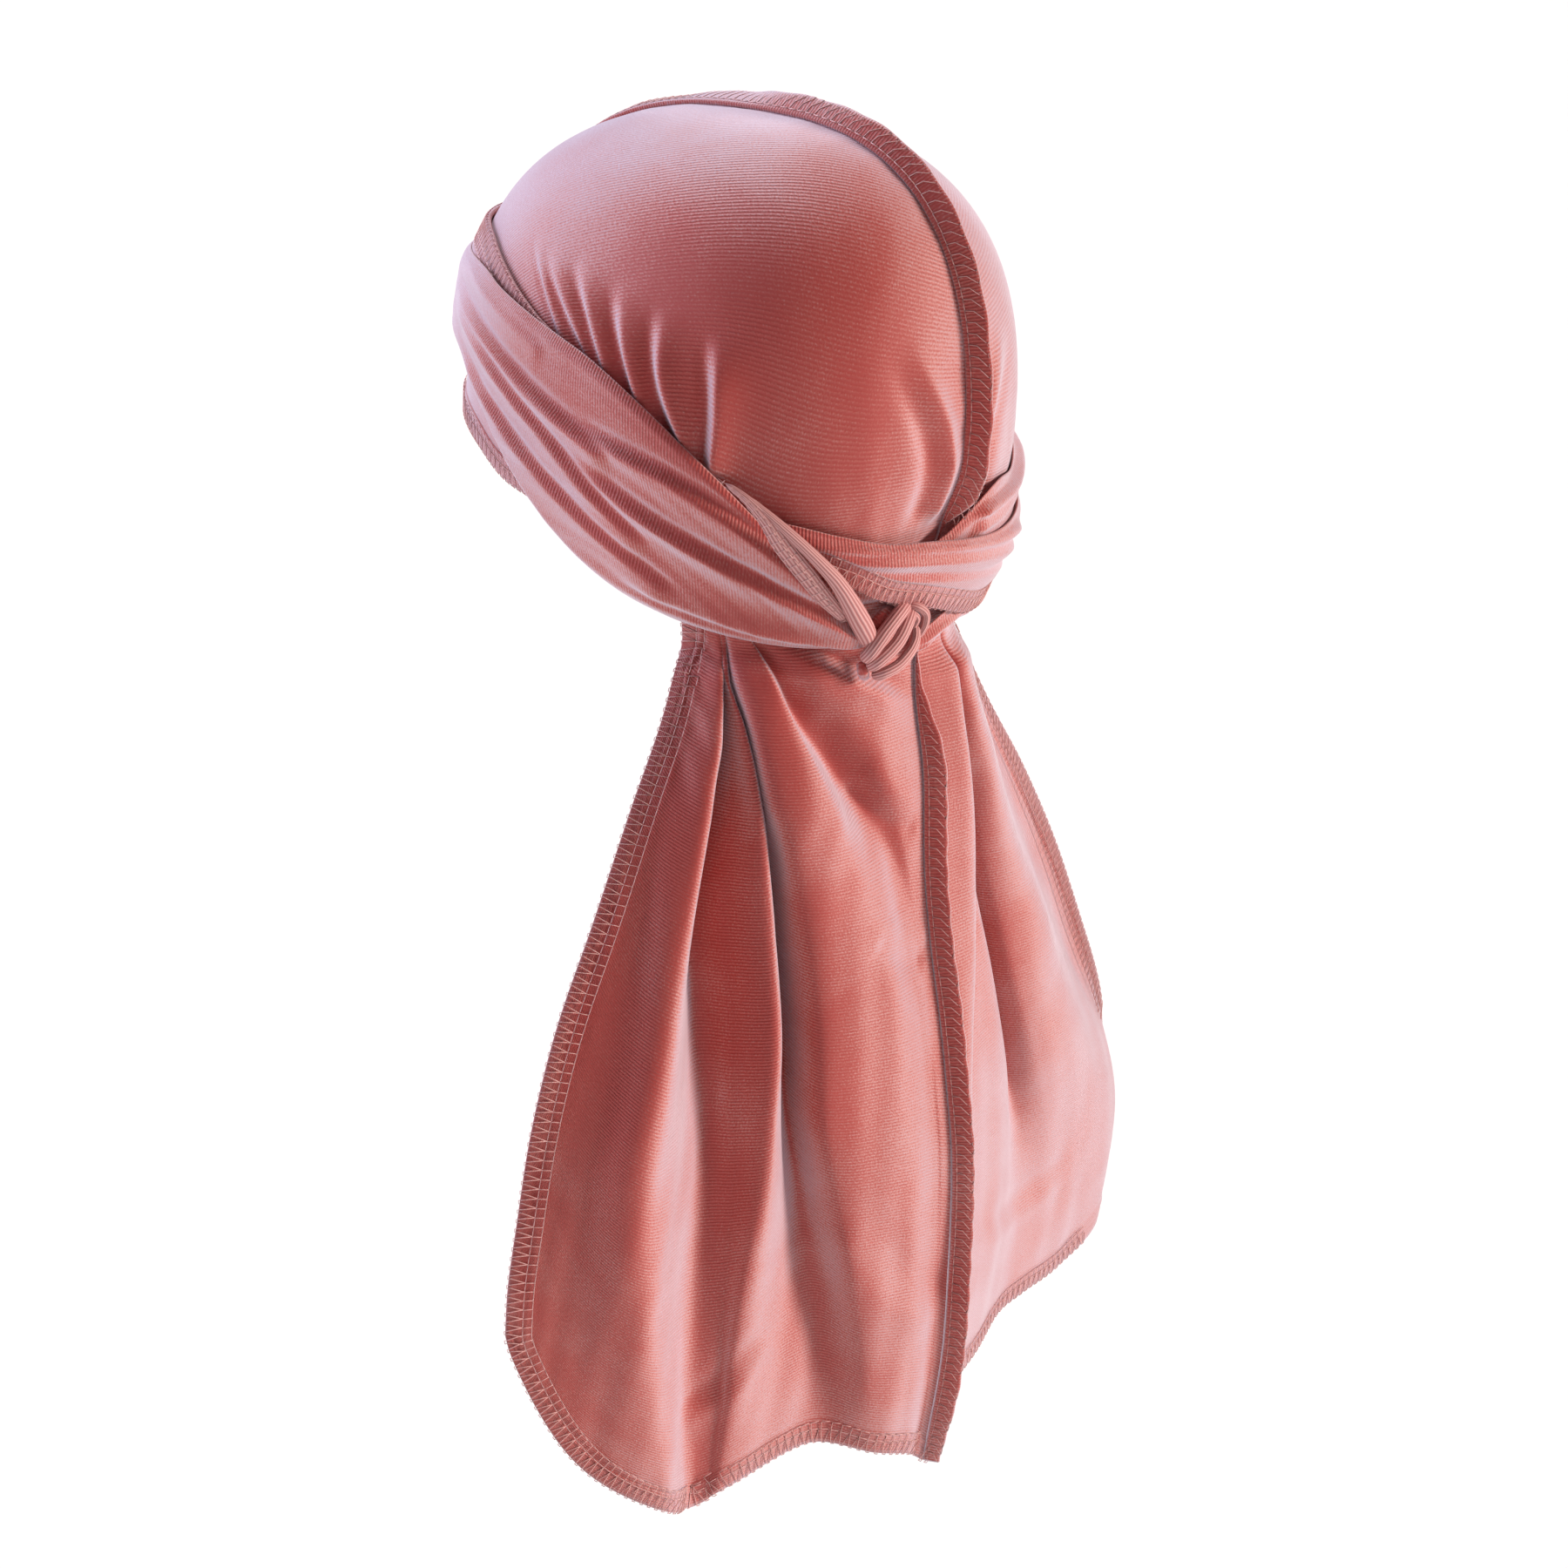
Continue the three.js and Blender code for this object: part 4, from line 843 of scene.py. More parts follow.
# ---------------------------------------------------------------- rolled edge, tie and knot
LADDER_ROLL = table(
    "azimuth z width thick",
    (50.5, -12.5, 0.8, 0.7),
    (46.5, -16.8, 1.5, 1.1),
    (43.0, -22.5, 2.4, 1.4),
    (39.9, -30.1, 3.1, 1.6),
    (35.4, -39.5, 3.2, 1.7),
    (31.6, -47.2, 2.9, 1.6),
    (28.9, -52, 2.4, 1.4),
    (26.2, -57, 1.6, 1.0),
)
SMOOTH_ROLL = table(
    "azimuth z width thick",
    (47, -15.4, 0.8, 0.7),
    (42.0, -21.7, 1.4, 1.3),
    (37.8, -27.8, 1.8, 1.6),
    (33.6, -34.6, 2.1, 1.9),
    (29.4, -42.1, 2.6, 2.3),
    (26.4, -49, 3.1, 2.6),
    (23.8, -55.6, 3.5, 2.8),
    (21.5, -61.5, 3.4, 2.8),
    (20, -65.5, 2.7, 2.3),
)
ROLL_STAND = 3 * LAYER + CLOTH + 1.3
KNOT_FACE = np.array([20.0, 84.0, -72.0])     # centre of the knot's outer face
KNOT_AZIMUTH = 13
KNOT_MIDDLE = (0, 0, -9)      # left, up and out from the outer face
STRAND_FLATNESS = 0.85
STRAND_SIDES = 20

# Turns of the knot over its outer face, each a strand through a few places, left, up and out, and
# its half width
KNOT_STRANDS = {
    "knot_wrap": [
        (2.5, [(-6.7, 11, -4.5), (-1.1, 10.8, 0), (6.8, 5.8, 2.2), (11.5, 0, 1.2), (11.8, -3.9, -3)]),
        (2.3, [(-8.5, 9.1, -4), (-4, 7.5, 0.4), (2, 1.5, 2.4), (8.9, -3.9, 1.4), (9.7, -6.7, -3)]),
        (2.2, [(-10.2, 5, -4), (-7.1, -1, -0.6), (-0.1, -5.9, 1.6), (6.1, -8.5, 0.6), (7.6, -10.1, -3.4)]),
    ],
    "knot_loop": [
        (1.7, [(-5.5, 11, -4), (-8.6, 11, -1.4), (-11.8, 8.3, -1.0), (-12, 4.4, -1.4), (-10.2, -0.6, -3)]),
        (1.4, [(-5.5, 9.6, -4), (-7.6, 8.6, -1.8), (-9, 6.5, -1.8), (-8.1, 2.9, -3)]),
    ],
    "knot_tip": [
        (2.4, [(-2.1, 10.4, -5), (3.3, 9.7, -3), (8.0, 6.3, -3), (9.6, 0.9, -5)]),
        (2.0, [(11.2, -5, -5), (11.6, -7.6, -3.2), (9.6, -10.6, -5)]),
    ],
}


def knot_place(place):
    left, up, out = place
    angle = math.radians(KNOT_AZIMUTH)
    sideways = np.array([math.cos(angle), -math.sin(angle), 0])
    away = np.array([math.sin(angle), math.cos(angle), 0])
    return KNOT_FACE + left * sideways + up * np.array([0, 0, 1.0]) + out * away


def strand(name, places, half, count=48):
    """Rounded strand of bunched cloth through a few places."""
    points = np.array([knot_place(place) for place in places])
    keys = np.arange(len(points))
    t = np.linspace(0, len(points) - 1, count)
    line = np.stack([smooth(keys, points[:, k], t) for k in range(3)], -1)
    tangent = unit(np.gradient(line, axis=0))
    away = unit(line - knot_place(KNOT_MIDDLE))
    across = unit(np.cross(tangent, away))
    out = unit(np.cross(across, tangent))
    s = np.linspace(0, 1, count)
    size = half * (0.86 + 0.14 * np.sin(np.pi * s)) * np.sqrt(ramp(np.minimum(s, 1 - s), -0.01, 0.1))
    return rod(name, rings_round(line, across, out, size, STRAND_FLATNESS * size, STRAND_SIDES))


def join(name, pieces):
    bpy.ops.object.select_all(action="DESELECT")
    for piece in pieces:
        piece.select_set(True)
    bpy.context.view_layer.objects.active = pieces[0]
    bpy.ops.object.join()
    joined = bpy.context.view_layer.objects.active
    joined.name = name
    return joined


def rolled_strand(name, rows, count=110):
    """One strand of the rolled hem, lying on top of the strap."""
    keys = np.arange(len(rows))
    t = np.linspace(0, len(rows) - 1, count)
    value = {label: smooth(keys, [row[label] for row in rows], t) for label in rows[0]}
    base = on_head(value["azimuth"], value["z"])
    normals = head_normal(base)
    line = base + normals * (ROLL_STAND + value["thick"])[:, None]
    tangent = unit(np.gradient(line, axis=0))
    across = unit(np.cross(tangent, normals))
    s = np.linspace(0, 1, count)
    size = np.sqrt(ramp(np.minimum(s, 1 - s), -0.003, 0.05))
    rings = rings_round(line, across, normals, value["width"] * size, value["thick"] * size, STRAND_SIDES)
    return rod(name, rings), line + normals * value["thick"][:, None], normals, across, value["width"]


# ---------------------------------------------------------------- stitches
THREAD_RADIUS = 0.17
LADDER_THREAD_RADIUS = 0.15
THREAD_SIDES = 3
THREAD_UPRIGHT = np.array([0.13, 0.21, 0.97])     # along none of the threads
HEM_PITCH = 3.3
SEAM_PITCH = 3.5
LADDER_PITCH = 2.6
LADDER_SPACING = 3.2
LADDER_HALF_WIDTH = 2.9     # the roll's half width that the ladder stitch is drawn for


def thread_form(name, paths, radius=THREAD_RADIUS):
    """Mesh of one stitch from the paths of its threads."""
    made = []
    for k, path in enumerate(paths):
        path = np.asarray(path, float)
        tangent = unit(np.gradient(path, axis=0))
        across = unit(np.cross(tangent, THREAD_UPRIGHT))
        size = np.full(len(path), radius)
        rings = rings_round(path, across, np.cross(across, tangent), size, size, THREAD_SIDES)
        made.append(rod(f"{name}_{k}", rings))
    form = join(name, made)
    form.hide_render = True
    return form


def hem_stitch(pitch):
    """Overlock stitch over a flat hem: x runs along the edge, y into the cloth, z out of it."""
    inner, middle = HEM_WIDTH, HEM_WIDTH - 3.0
    lift = 0.36
    return thread_form("hem_stitch", [
        [(0.03 * pitch, inner, lift), (0.97 * pitch, inner, lift)],
        [(0.02 * pitch, inner, lift), (0.12 * pitch, middle, lift + 0.06),
         (0.98 * pitch, middle, lift + 0.06)],
        [(0.1 * pitch, middle, lift), (0.5 * pitch, 0.3, lift + 0.1), (0.62 * pitch, -0.5, -0.2),
         (0.95 * pitch, -0.35, 0), (0.8 * pitch, 0.7, lift + 0.1), (1.1 * pitch, middle, lift)],
    ])


def seam_stitch(pitch):
    """Overlock stitch over a raised seam: x along it, y up it, z out of one face."""
    half = SEAM_THICK / 2 + 0.12
    top = SEAM_HEIGHT - 0.6
    return thread_form("seam_stitch", [
        [(0, 1.2, half), (0.95 * pitch, 1.2, half)],
        [(0, 1.2, half), (0.15 * pitch, 4, half), (0.95 * pitch, 0.9 * top, half),
         (1.1 * pitch, top + 0.25, 0), (0.8 * pitch, 4.5, -half), (0.4 * pitch, 1.4, -half)],
        [(0.1 * pitch, top - 0.1, 0.7 * half), (0.6 * pitch, top + 0.3, 0.2 * half),
         (1.12 * pitch, top - 0.1, 0.7 * half)],
    ])


def ladder_stitch(pitch):
    """Ladder of thread over the rolled hem: two needle rows and the rungs between them."""
    return thread_form("ladder_stitch", [
        [(0, 2.3, -0.5), (pitch, 2.3, -0.5)],
        [(0, -0.6, 0.14), (pitch, -0.6, 0.14)],
        [(0.2 * pitch, -2.4, -0.6), (0.25 * pitch, -0.6, 0.14), (0.3 * pitch, 0.9, 0.14),
         (0.25 * pitch, 2.3, -0.45)],
    ], LADDER_THREAD_RADIUS)


def linear(hex_colour):
    """Linear colour, with alpha, from an sRGB hex value."""
    parts = [int(hex_colour[k:k + 2], 16) / 255 for k in (1, 3, 5)]
    return (*[c / 12.92 if c <= 0.04045 else ((c + 0.055) / 1.055) ** 2.4 for c in parts], 1)


def add_node(tree, kind, settings=None, stops=(), **inputs):
    """Adds a node with its settings, sets or links its inputs by name, and sets the places and
    colours of a ramp's stops."""
    node = tree.nodes.new(kind)
    for name, value in (settings or {}).items():
        setattr(node, name, value)
    for k, (place, colour) in enumerate(stops):
        elements = node.color_ramp.elements
        element = elements[k] if k < 2 else elements.new(place)
        element.position = place
        element.color = linear(colour)
    for name, value in inputs.items():
        key = int(name[1:]) if name[0] == "i" and name[1:].isdigit() else name.replace("_", " ")
        socket = node.inputs[key]
        if isinstance(value, bpy.types.NodeSocket):
            tree.links.new(value, socket)
        else:
            socket.default_value = value
    return node


def stitch_tree():
    """Copies of one stitch along a line, each turned by the line and by its outward direction."""
    tree = bpy.data.node_groups.new("stitches_along_a_line", "GeometryNodeTree")
    tree.is_modifier = True
    inputs = {"Line": "Geometry", "Stitch": "Object", "Pitch": "Float", "Thread": "Material"}
    for name, kind in inputs.items():
        tree.interface.new_socket(name, in_out="INPUT", socket_type="NodeSocket" + kind)
    tree.interface.new_socket("Stitches", in_out="OUTPUT", socket_type="NodeSocketGeometry")
    given = tree.nodes.new("NodeGroupInput").outputs
    curve = add_node(tree, "GeometryNodeMeshToCurve", Mesh=given["Line"])
    spaced = add_node(tree, "GeometryNodeResampleCurve", {"mode": "LENGTH"},
                      Curve=curve.outputs[0], Length=given["Pitch"])
    out = add_node(tree, "GeometryNodeInputNamedAttribute", {"data_type": "FLOAT_VECTOR"}, Name="out")
    tangent = add_node(tree, "GeometryNodeInputTangent")
    upright = add_node(tree, "FunctionNodeAlignRotationToVector", {"axis": "Z"},
                       Vector=out.outputs["Attribute"])
    turned = add_node(tree, "FunctionNodeAlignRotationToVector", {"axis": "X", "pivot_axis": "Z"},
                      Rotation=upright.outputs[0], Vector=tangent.outputs[0])
    form = add_node(tree, "GeometryNodeObjectInfo", {"transform_space": "ORIGINAL"},
                    Object=given["Stitch"], As_Instance=True)
    reach = add_node(tree, "GeometryNodeInputNamedAttribute", {"data_type": "FLOAT"}, Name="reach")
    size = add_node(tree, "ShaderNodeCombineXYZ", X=1.0, Y=reach.outputs["Attribute"], Z=1.0)
    copies = add_node(tree, "GeometryNodeInstanceOnPoints", Points=spaced.outputs[0], Scale=size.outputs[0],
                      Instance=form.outputs["Geometry"], Rotation=turned.outputs[0])
    real = add_node(tree, "GeometryNodeRealizeInstances", Geometry=copies.outputs[0])
    dressed = add_node(tree, "GeometryNodeSetMaterial", Geometry=real.outputs[0], Material=given["Thread"])
    add_node(tree, "NodeGroupOutput", Stitches=dressed.outputs[0])
    return tree


def stitches(name, line, out, into, reach, form, pitch):
    """Plain mesh of stitches along a line; out and into are directions at each of its points, and
    reach is how far the stitches go into the cloth, as a share of their full size."""
    tangent = np.gradient(line, axis=0)
    if (np.cross(out, tangent) * into).sum() < 0:
        line, out, reach = line[::-1], out[::-1], np.broadcast_to(reach, len(line))[::-1]
    mesh = bpy.data.meshes.new(name + "_line")
    mesh.from_pydata((line * MM).tolist(), [(k, k + 1) for k in range(len(line) - 1)], [])
    mesh.attributes.new("out", "FLOAT_VECTOR", "POINT").data.foreach_set(
        "vector", np.asarray(out, np.float32).ravel())
    mesh.attributes.new("reach", "FLOAT", "POINT").data.foreach_set(
        "value", np.broadcast_to(reach, len(line)).astype(np.float32))
    guide = add_object(name + "_line", mesh)
    modifier = guide.modifiers.new("stitches", "NODES")
    modifier.node_group = STITCH_TREE
    sockets = {item.name: item.identifier for item in STITCH_TREE.interface.items_tree
               if item.in_out == "INPUT"}
    modifier[sockets["Stitch"]] = form
    modifier[sockets["Pitch"]] = pitch * MM
    modifier[sockets["Thread"]] = THREAD
    bpy.context.view_layer.update()
    made = bpy.data.meshes.new_from_object(guide.evaluated_get(bpy.context.evaluated_depsgraph_get()))
    bpy.data.objects.remove(guide)
    made.name = name
    return add_object(name, made)


# ---------------------------------------------------------------- materials
def new_material(name):
    material = bpy.data.materials.new(name)
    material.use_nodes = True
    material.node_tree.nodes.clear()
    return material, material.node_tree


WAVE_BAND = math.tau / 20      # width of one band of a wave texture at scale 1
RIB_PITCH = 1.1       # knitted ribs
KNIT_PITCH = 1.0      # rows of the wrong side
PILE_GRAIN = 0.65     # tufts of pile; finer on the real cloth, drawn this coarse so that they show
# cloth colour and painted sheen: coral where the surface faces the eye, turning to pale lilac painted sheen
# as it turns away
PILE_AND_PAINTED_SHEEN_COLOURS = [(0.0, "#B54A45"), (0.2, "#BC6059"), (0.4, "#CA8C89"), (0.65, "#C8A4AD"), (0.95, "#D4C0CA")]
HEM_COLOUR = "#BE7472"
WRONG_SIDE_COLOUR = "#C98A80"
WRONG_SIDE_COLOURS = [(0.1, "#B46D6C"), (0.5, "#CC8F8D"), (0.9, "#DDAAA7")]
THREAD_COLOURS = [(0.3, "#D09490"), (0.7, "#E8BCB8")]


def rose_stretch_velvet():
    """Knitted polyester and elastane velvet with a brushed nap about 1 mm long, over fine knitted ribs:
    deep coral where the eye looks down into the nap. The pale, silky lilac where the eye sees the nap's
    sides is painted sheen, mixed into the base colour by how far the surface turns from the eye, on top
    of the shader's own sheen. Its wrong side is a smooth, lighter knit, and the stitched hems are paler
    than the cloth."""
    material, tree = new_material("rose_stretch_velvet")
    place = add_node(tree, "ShaderNodeUVMap", {"uv_map": "cloth"}).outputs["UV"]
    ribs = add_node(tree, "ShaderNodeTexWave", {"wave_type": "BANDS", "bands_direction": "X"},
                    Vector=place, Scale=WAVE_BAND / (RIB_PITCH * MM), Distortion=0.9,
                    Detail=2.0, Detail_Scale=0.4).outputs["Fac"]
    grain = add_node(tree, "ShaderNodeTexNoise", Vector=place, Scale=1 / (PILE_GRAIN * MM),
                     Detail=2.0, Roughness=0.6).outputs["Fac"]
    brushed = add_node(tree, "ShaderNodeTexNoise", Vector=place, Scale=1 / (38 * MM), Detail=4.0,
                       Roughness=0.55, Distortion=0.4).outputs["Fac"]
    relief = add_node(tree, "ShaderNodeMath", {"operation": "MULTIPLY_ADD"}, i0=ribs, i1=0.8, i2=grain)
    relief_bump = add_node(tree, "ShaderNodeBump", Strength=0.55, Distance=0.3 * MM, Height=relief.outputs[0])
    # painted sheen: how far the surface turns from the eye picks the colour from the ramp, from coral to pale
    # lilac
    facing = add_node(tree, "ShaderNodeLayerWeight", Blend=0.5).outputs["Facing"]
    seen = facing
    for unevenness, strength in ((brushed, 0.55), (grain, 0.9), (ribs, 0.2)):
        seen = add_node(tree, "ShaderNodeMath", {"operation": "MULTIPLY_ADD"},
                        i0=unevenness, i1=strength, i2=seen).outputs[0]
    # about half of the three strengths together is taken off, so that even cloth keeps its own shade
    seen = add_node(tree, "ShaderNodeMath", {"operation": "SUBTRACT", "use_clamp": True}, i0=seen, i1=0.83)
    pile_and_painted_sheen = add_node(tree, "ShaderNodeValToRGB", stops=PILE_AND_PAINTED_SHEEN_COLOURS, Fac=seen.outputs[0]).outputs["Color"]
    hem = add_node(tree, "ShaderNodeAttribute", {"attribute_name": "hem"}).outputs["Fac"]
    wrong = add_node(tree, "ShaderNodeAttribute", {"attribute_name": "wrong_side"}).outputs["Fac"]
    hem_part = add_node(tree, "ShaderNodeMath", {"operation": "MULTIPLY"}, i0=hem, i1=0.25)
    with_hem = add_node(tree, "ShaderNodeMix", {"data_type": "RGBA"}, i0=hem_part.outputs[0],
                        i6=pile_and_painted_sheen, i7=linear(HEM_COLOUR))
    colour = add_node(tree, "ShaderNodeMix", {"data_type": "RGBA"}, i0=wrong,
                      i6=with_hem.outputs[2], i7=linear(WRONG_SIDE_COLOUR))
    down = add_node(tree, "ShaderNodeTangent", {"direction_type": "UV_MAP", "uv_map": "cloth"})
    shader = add_node(tree, "ShaderNodeBsdfPrincipled", Base_Color=colour.outputs[2], Roughness=0.5,
                      Normal=relief_bump.outputs[0], Tangent=down.outputs[0])
    shader.inputs["Specular IOR Level"].default_value = 0.38
    shader.inputs["Anisotropic"].default_value = 0.6
    shader.inputs["Sheen Weight"].default_value = 0.5
    shader.inputs["Sheen Roughness"].default_value = 0.4
    shader.inputs["Sheen Tint"].default_value = linear("#F0E0E8")
    add_node(tree, "ShaderNodeOutputMaterial", Surface=shader.outputs[0])
    return material


def velvet_wrong_side():
    """The same velvet turned wrong side out and pulled tight: a smooth, pale knit with fine lines
    along the pull and little sheen."""
    material, tree = new_material("velvet_wrong_side")
    place = add_node(tree, "ShaderNodeUVMap", {"uv_map": "cloth"}).outputs["UV"]
    lines = add_node(tree, "ShaderNodeTexWave", {"wave_type": "BANDS", "bands_direction": "Y"},
                     Vector=place, Scale=WAVE_BAND / (KNIT_PITCH * MM), Distortion=1.5, Detail=2.0,
                     Detail_Scale=0.3).outputs["Fac"]
    knit = add_node(tree, "ShaderNodeTexNoise", Vector=place, Scale=1 / (0.5 * MM), Detail=2.0).outputs["Fac"]
    relief = add_node(tree, "ShaderNodeMath", {"operation": "MULTIPLY_ADD"}, i0=knit, i1=0.4, i2=lines)
    relief_bump = add_node(tree, "ShaderNodeBump", Strength=0.5, Distance=0.35 * MM, Height=relief.outputs[0])
    colour = add_node(tree, "ShaderNodeValToRGB", stops=WRONG_SIDE_COLOURS, Fac=lines).outputs["Color"]
    shader = add_node(tree, "ShaderNodeBsdfPrincipled", Base_Color=colour, Roughness=0.6,
                      Normal=relief_bump.outputs[0])
    shader.inputs["Sheen Weight"].default_value = 0.3
    shader.inputs["Sheen Roughness"].default_value = 0.4
    shader.inputs["Sheen Tint"].default_value = linear("#F0D8D6")
    add_node(tree, "ShaderNodeOutputMaterial", Surface=shader.outputs[0])
    return material


def overlock_thread():
    """Textured polyester overlock yarn, a little lighter than the cloth and softly matt."""
    material, tree = new_material("overlock_thread")
    place = add_node(tree, "ShaderNodeTexCoord").outputs["Object"]
    fuzz = add_node(tree, "ShaderNodeTexNoise", Vector=place, Scale=1 / (0.4 * MM), Detail=2.0).outputs["Fac"]
    relief_bump = add_node(tree, "ShaderNodeBump", Strength=0.5, Distance=0.2 * MM, Height=fuzz)
    colour = add_node(tree, "ShaderNodeValToRGB", stops=THREAD_COLOURS, Fac=fuzz).outputs["Color"]
    shader = add_node(tree, "ShaderNodeBsdfPrincipled", Base_Color=colour, Roughness=0.55,
                      Normal=relief_bump.outputs[0])
    shader.inputs["Sheen Weight"].default_value = 0.2
    add_node(tree, "ShaderNodeOutputMaterial", Surface=shader.outputs[0])
    return material


VELVET = rose_stretch_velvet()
WRONG_SIDE = velvet_wrong_side()
THREAD = overlock_thread()


# ---------------------------------------------------------------- making the pieces
def dress(piece, material):
    piece.data.materials.clear()
    piece.data.materials.append(material)
    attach(piece, "root")


def left_hem_shown(turn):
    return ramp(turn, -190, -180) * (1 - ramp(turn, 32, 40))


def right_hem_shown(turn):
    return ramp(turn, -240, -232) * (1 - ramp(turn, -90, -82))


crown_left = crown_panel("velvet_crown_left", 1, PLEATS, rows=260, columns=150)
crown_right = crown_panel("velvet_crown_right", -1, PLEATS[3:], rows=180, columns=100)
strap_left, left_outer, left_normals = strap(
    "velvet_strap_left", 1, LEFT_STRAP, LEFT_CREASES, 64, ("last",), left_hem_shown)
strap_right, right_outer, right_normals = strap(
    "velvet_strap_right", -1, RIGHT_STRAP, RIGHT_CREASES, 44, ("first",), right_hem_shown)
tail_left, tail_left_outer, tail_left_normals = tail_half(
    "velvet_tail_left", 1, LEFT_TAIL_FOLDS, LEFT_GATHER, LEFT_EDGE, LEFT_TAIL_CREASES, 220, 210)
tail_right, tail_right_outer, tail_right_normals = tail_half(
    "velvet_tail_right", -1, RIGHT_TAIL_FOLDS, RIGHT_GATHER, RIGHT_EDGE, RIGHT_TAIL_CREASES, 200, 170)

crown_fin = crown_seam_frame(360)
crown_seam = raised_strip("crown_seam_fin", *crown_fin, SEAM_THICK)
tail_fin = tail_seam_frame(360)
tail_seam = raised_strip("tail_seam_fin", *tail_fin, SEAM_THICK)

FRONT_HEM_PROUD = 1.5
FRONT_HEM_GAP = 0.1      # between the hem and the line it is laid on
hem_base, hem_normals = front_hem_grid(12, 240)
hem_outer = hem_base + hem_normals * FRONT_HEM_PROUD
hem_uv = np.stack([lengths(hem_base, 0), lengths(hem_base, 1)], -1)
front_hem = cloth_wall("forehead_hem", hem_outer, hem_base + hem_normals * FRONT_HEM_GAP, hem_uv,
                       np.ones(hem_base.shape[:2]))

ladder_roll, roll_line, roll_out, roll_across, roll_width = rolled_strand("rolled_edge_ladder", LADDER_ROLL)
roll = join("rolled_edge_strands", [ladder_roll, rolled_strand("rolled_edge_smooth", SMOOTH_ROLL)[0]])

knot_pieces = {}
for name, strands in KNOT_STRANDS.items():
    turns = [strand(f"{name}_{k}", places, half) for k, (half, places) in enumerate(strands)]
    knot_pieces[name] = join(f"{name}_strands", turns)

STITCH_TREE = stitch_tree()
HEM_STITCH = hem_stitch(HEM_PITCH)
SEAM_STITCH = seam_stitch(SEAM_PITCH)
LADDER_STITCH = ladder_stitch(LADDER_PITCH)


def hem_run(outer, normals, rows, columns):
    """Outer side and then lower edge of a tail half, as one line, with its directions. Where the
    cloth curls away from the line, the stitches reach less far into it."""
    parts = []
    if rows:
        parts.append((outer[rows, -1], normals[rows, -1], outer[rows, -12] - outer[rows, -1]))
    if columns:
        parts.append((outer[-1, columns], normals[-1, columns], outer[-12, columns] - outer[-1, columns]))
    line, out, into = (np.concatenate(lines) for lines in zip(*parts))
    curled = np.abs((unit(into) * out).sum(-1))
    return line, out, into, 1 - 0.8 * ramp(curled, 0.25, 0.55)


def fin_run(fin):
    """Foot line of a raised seam without its last few millimetres, with its directions and height."""
    foot, _, rise, beside, height = (part[:-5] for part in fin)
    return foot, beside, rise, height / SEAM_HEIGHT


def strap_run(outer, normals, rows, side, inward):
    """Hem of a strap over the rows where it shows, from one of its columns towards another."""
    return outer[rows, side], normals[rows, side], outer[rows, inward] - outer[rows, side], 1


HEM_RUNS = {
    "tail_left": hem_run(tail_left_outer, tail_left_normals, slice(20, None), slice(-2, 2, -1)),
    "tail_right_side": hem_run(tail_right_outer, tail_right_normals, slice(16, -34), None),
    "tail_right_edge": hem_run(tail_right_outer, tail_right_normals, None, slice(-34, 2, -1)),
    "strap_left": strap_run(left_outer, left_normals, slice(74, 288), -1, -9),
    "strap_right": strap_run(right_outer, right_normals, slice(192, 340), 0, 7),
    "forehead": (hem_outer[-1], hem_normals[-1], hem_outer[0] - hem_outer[-1], 1),
}
runs = [(name, run, HEM_STITCH, HEM_PITCH) for name, run in HEM_RUNS.items()]
runs += [("crown_seam", fin_run(crown_fin), SEAM_STITCH, SEAM_PITCH),
         ("tail_seam", fin_run(tail_fin), SEAM_STITCH, SEAM_PITCH)]
ladder_run = (roll_line, roll_out, roll_across, roll_width / LADDER_HALF_WIDTH)
runs.append(("rolled_edge", ladder_run, LADDER_STITCH, LADDER_SPACING))
sewn = {name: stitches(f"stitches_{name}", *run, form, pitch) for name, run, form, pitch in runs}
for form in (HEM_STITCH, SEAM_STITCH, LADDER_STITCH):
    bpy.data.objects.remove(form)

velvet_pieces = {
    "crown_left": crown_left, "crown_right": crown_right, "strap_left": strap_left,
    "strap_right": strap_right, "tail_left": tail_left, "tail_right": tail_right,
    "crown_seam": crown_seam, "tail_seam": tail_seam, "front_hem": front_hem,
    "knot_tip": knot_pieces["knot_tip"],
}
turned_out = {"rolled_edge": roll, "knot_wrap": knot_pieces["knot_wrap"],
              "knot_loop": knot_pieces["knot_loop"]}
for pieces, material, slot in ((velvet_pieces, VELVET, "velvet"), (turned_out, WRONG_SIDE, "velvet_back")):
    for node, piece in pieces.items():
        dress(piece, material)
        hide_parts(node)
for piece in sewn.values():
    dress(piece, THREAD)


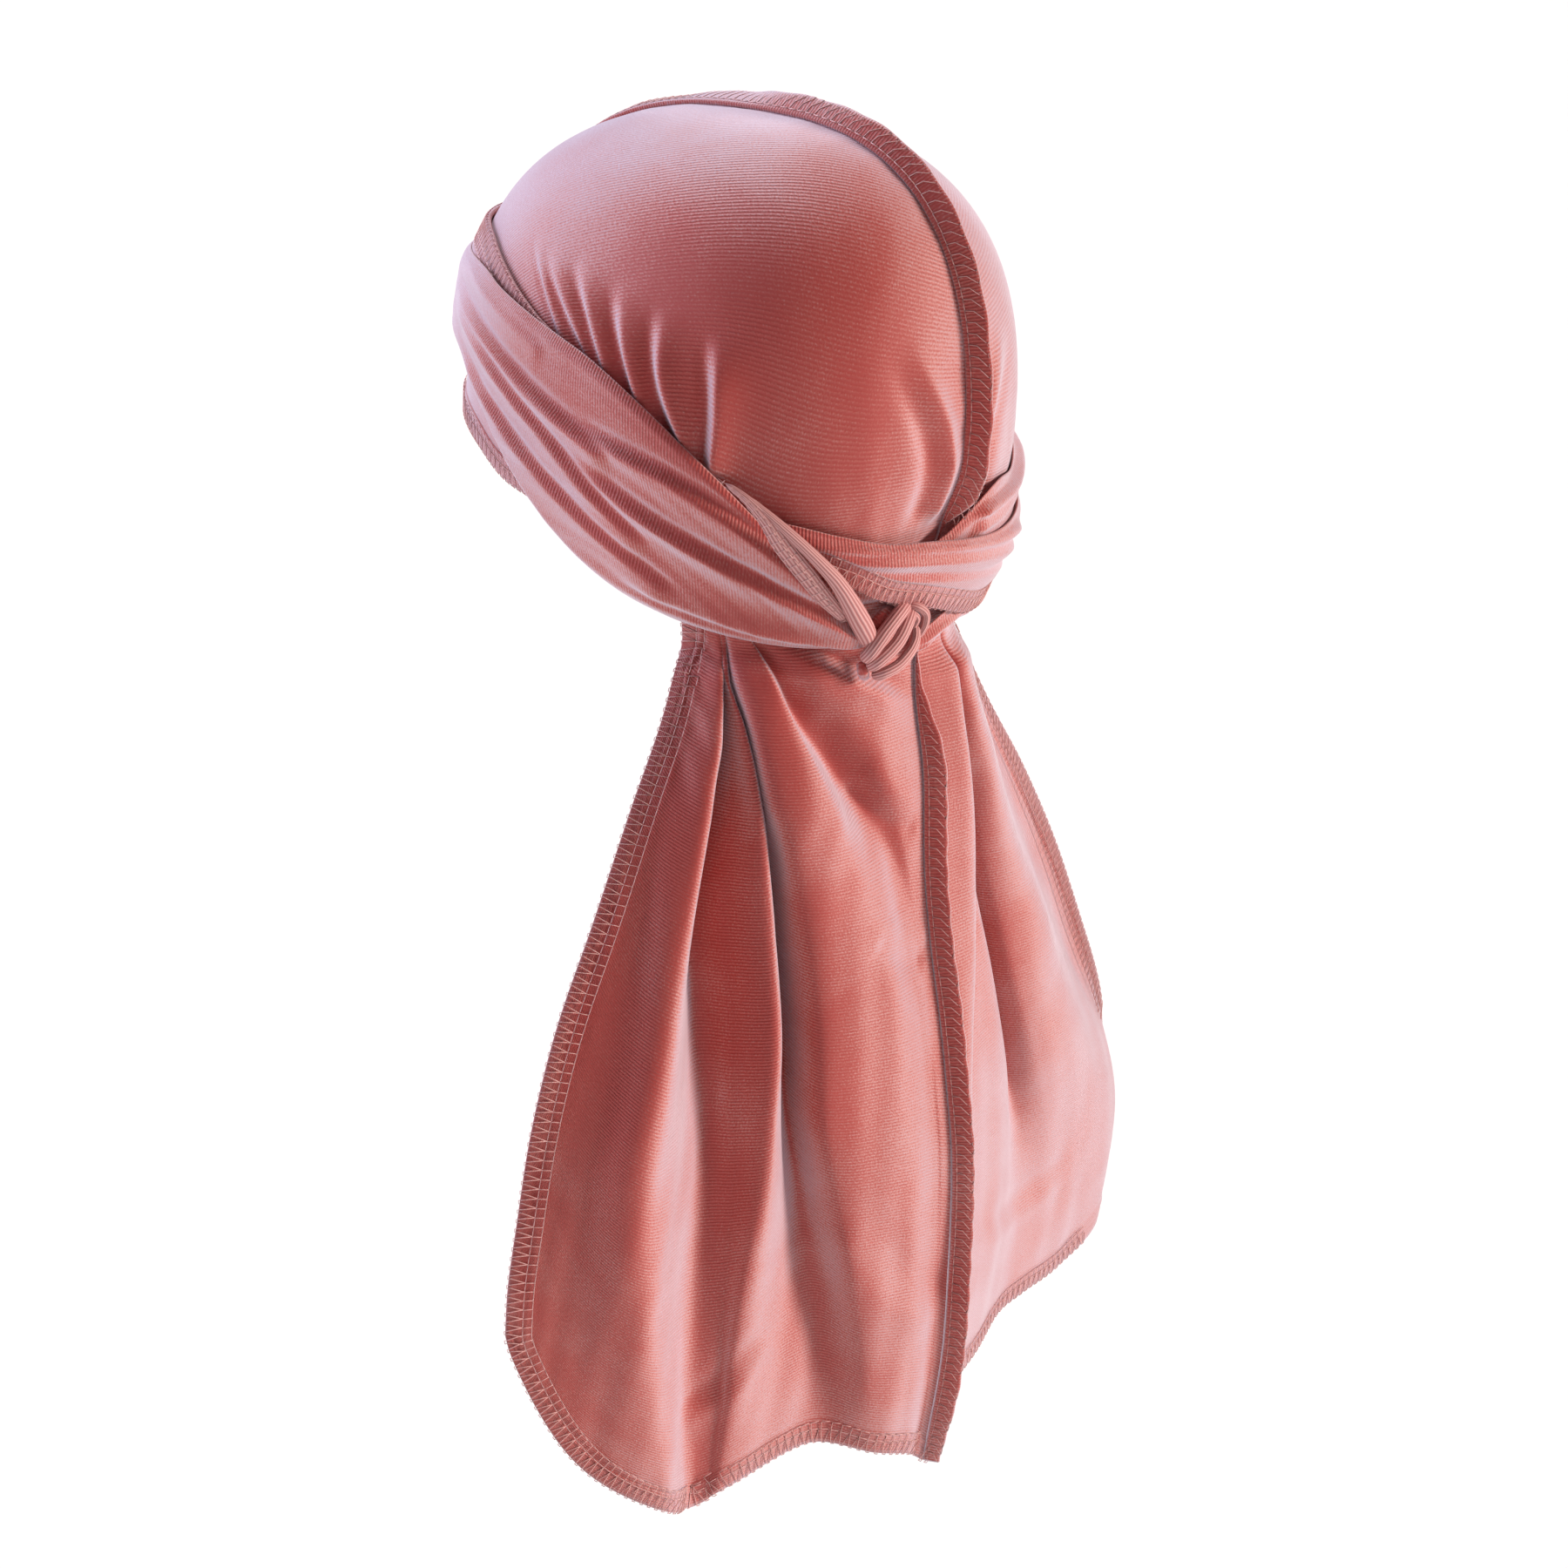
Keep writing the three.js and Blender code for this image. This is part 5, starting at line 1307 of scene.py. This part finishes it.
# ---------------------------------------------------------------- floor, light and camera
FLOOR_REACH = 14          # metres
FLOOR_LEVEL = -0.95
CAMERA_PLACE = (0.8327, 0.7498, 0.2587)
CAMERA_AIM = (-0.0088, 0.010, -0.145)
CAMERA_LENS = 78.66
SENSOR_WIDTH = 36

floor_mesh = bpy.data.meshes.new("floor")
floor_mesh.from_pydata([(FLOOR_REACH * x, FLOOR_REACH * y, FLOOR_LEVEL)
                        for x, y in ((-1, -1), (1, -1), (1, 1), (-1, 1))], [], [(0, 1, 2, 3)])
floor = add_object("floor", floor_mesh)
pale_paint, tree = new_material("pale_matt_paint")     # smooth wall paint, rolled on
shader = add_node(tree, "ShaderNodeBsdfPrincipled", Base_Color=linear("#F2EFE4"), Roughness=0.9)
shader.inputs["Specular IOR Level"].default_value = 0.1
add_node(tree, "ShaderNodeOutputMaterial", Surface=shader.outputs[0])
floor_mesh.materials.append(pale_paint)

world = bpy.data.worlds.new("soft_daylight")
world.use_nodes = True
world.node_tree.nodes["Background"].inputs["Color"].default_value = linear("#EEF1FA")
world.node_tree.nodes["Background"].inputs["Strength"].default_value = 0.12
bpy.context.scene.world = world


def sun_light(name, direction, strength, softness, colour):
    """Even light from far away; direction points from the object to the light."""
    lamp = bpy.data.lights.new(name, "SUN")
    lamp.energy = strength
    lamp.angle = math.radians(softness)
    lamp.color = linear(colour)[:3]
    light = add_object(name, lamp)
    light.rotation_euler = Vector(direction).to_track_quat("Z", "Y").to_euler()


sun_light("window", (-0.56, 0.81, 0.2), 3.3, 14, "#FFEBDF")
sun_light("skylight", (-0.3, -0.5, 0.8), 2.8, 35, "#F4F6FF")
sun_light("side_fill", (0.5, -0.75, 0.35), 2.9, 45, "#E2E4FF")

camera_data = bpy.data.cameras.new("camera")
camera_data.lens = CAMERA_LENS
camera_data.sensor_width = SENSOR_WIDTH
camera = add_object("camera", camera_data)
camera.location = CAMERA_PLACE
camera.rotation_euler = (Vector(CAMERA_AIM) - camera.location).to_track_quat("-Z", "Y").to_euler()
bpy.context.scene.camera = camera
bpy.context.scene.view_settings.view_transform = "Standard"
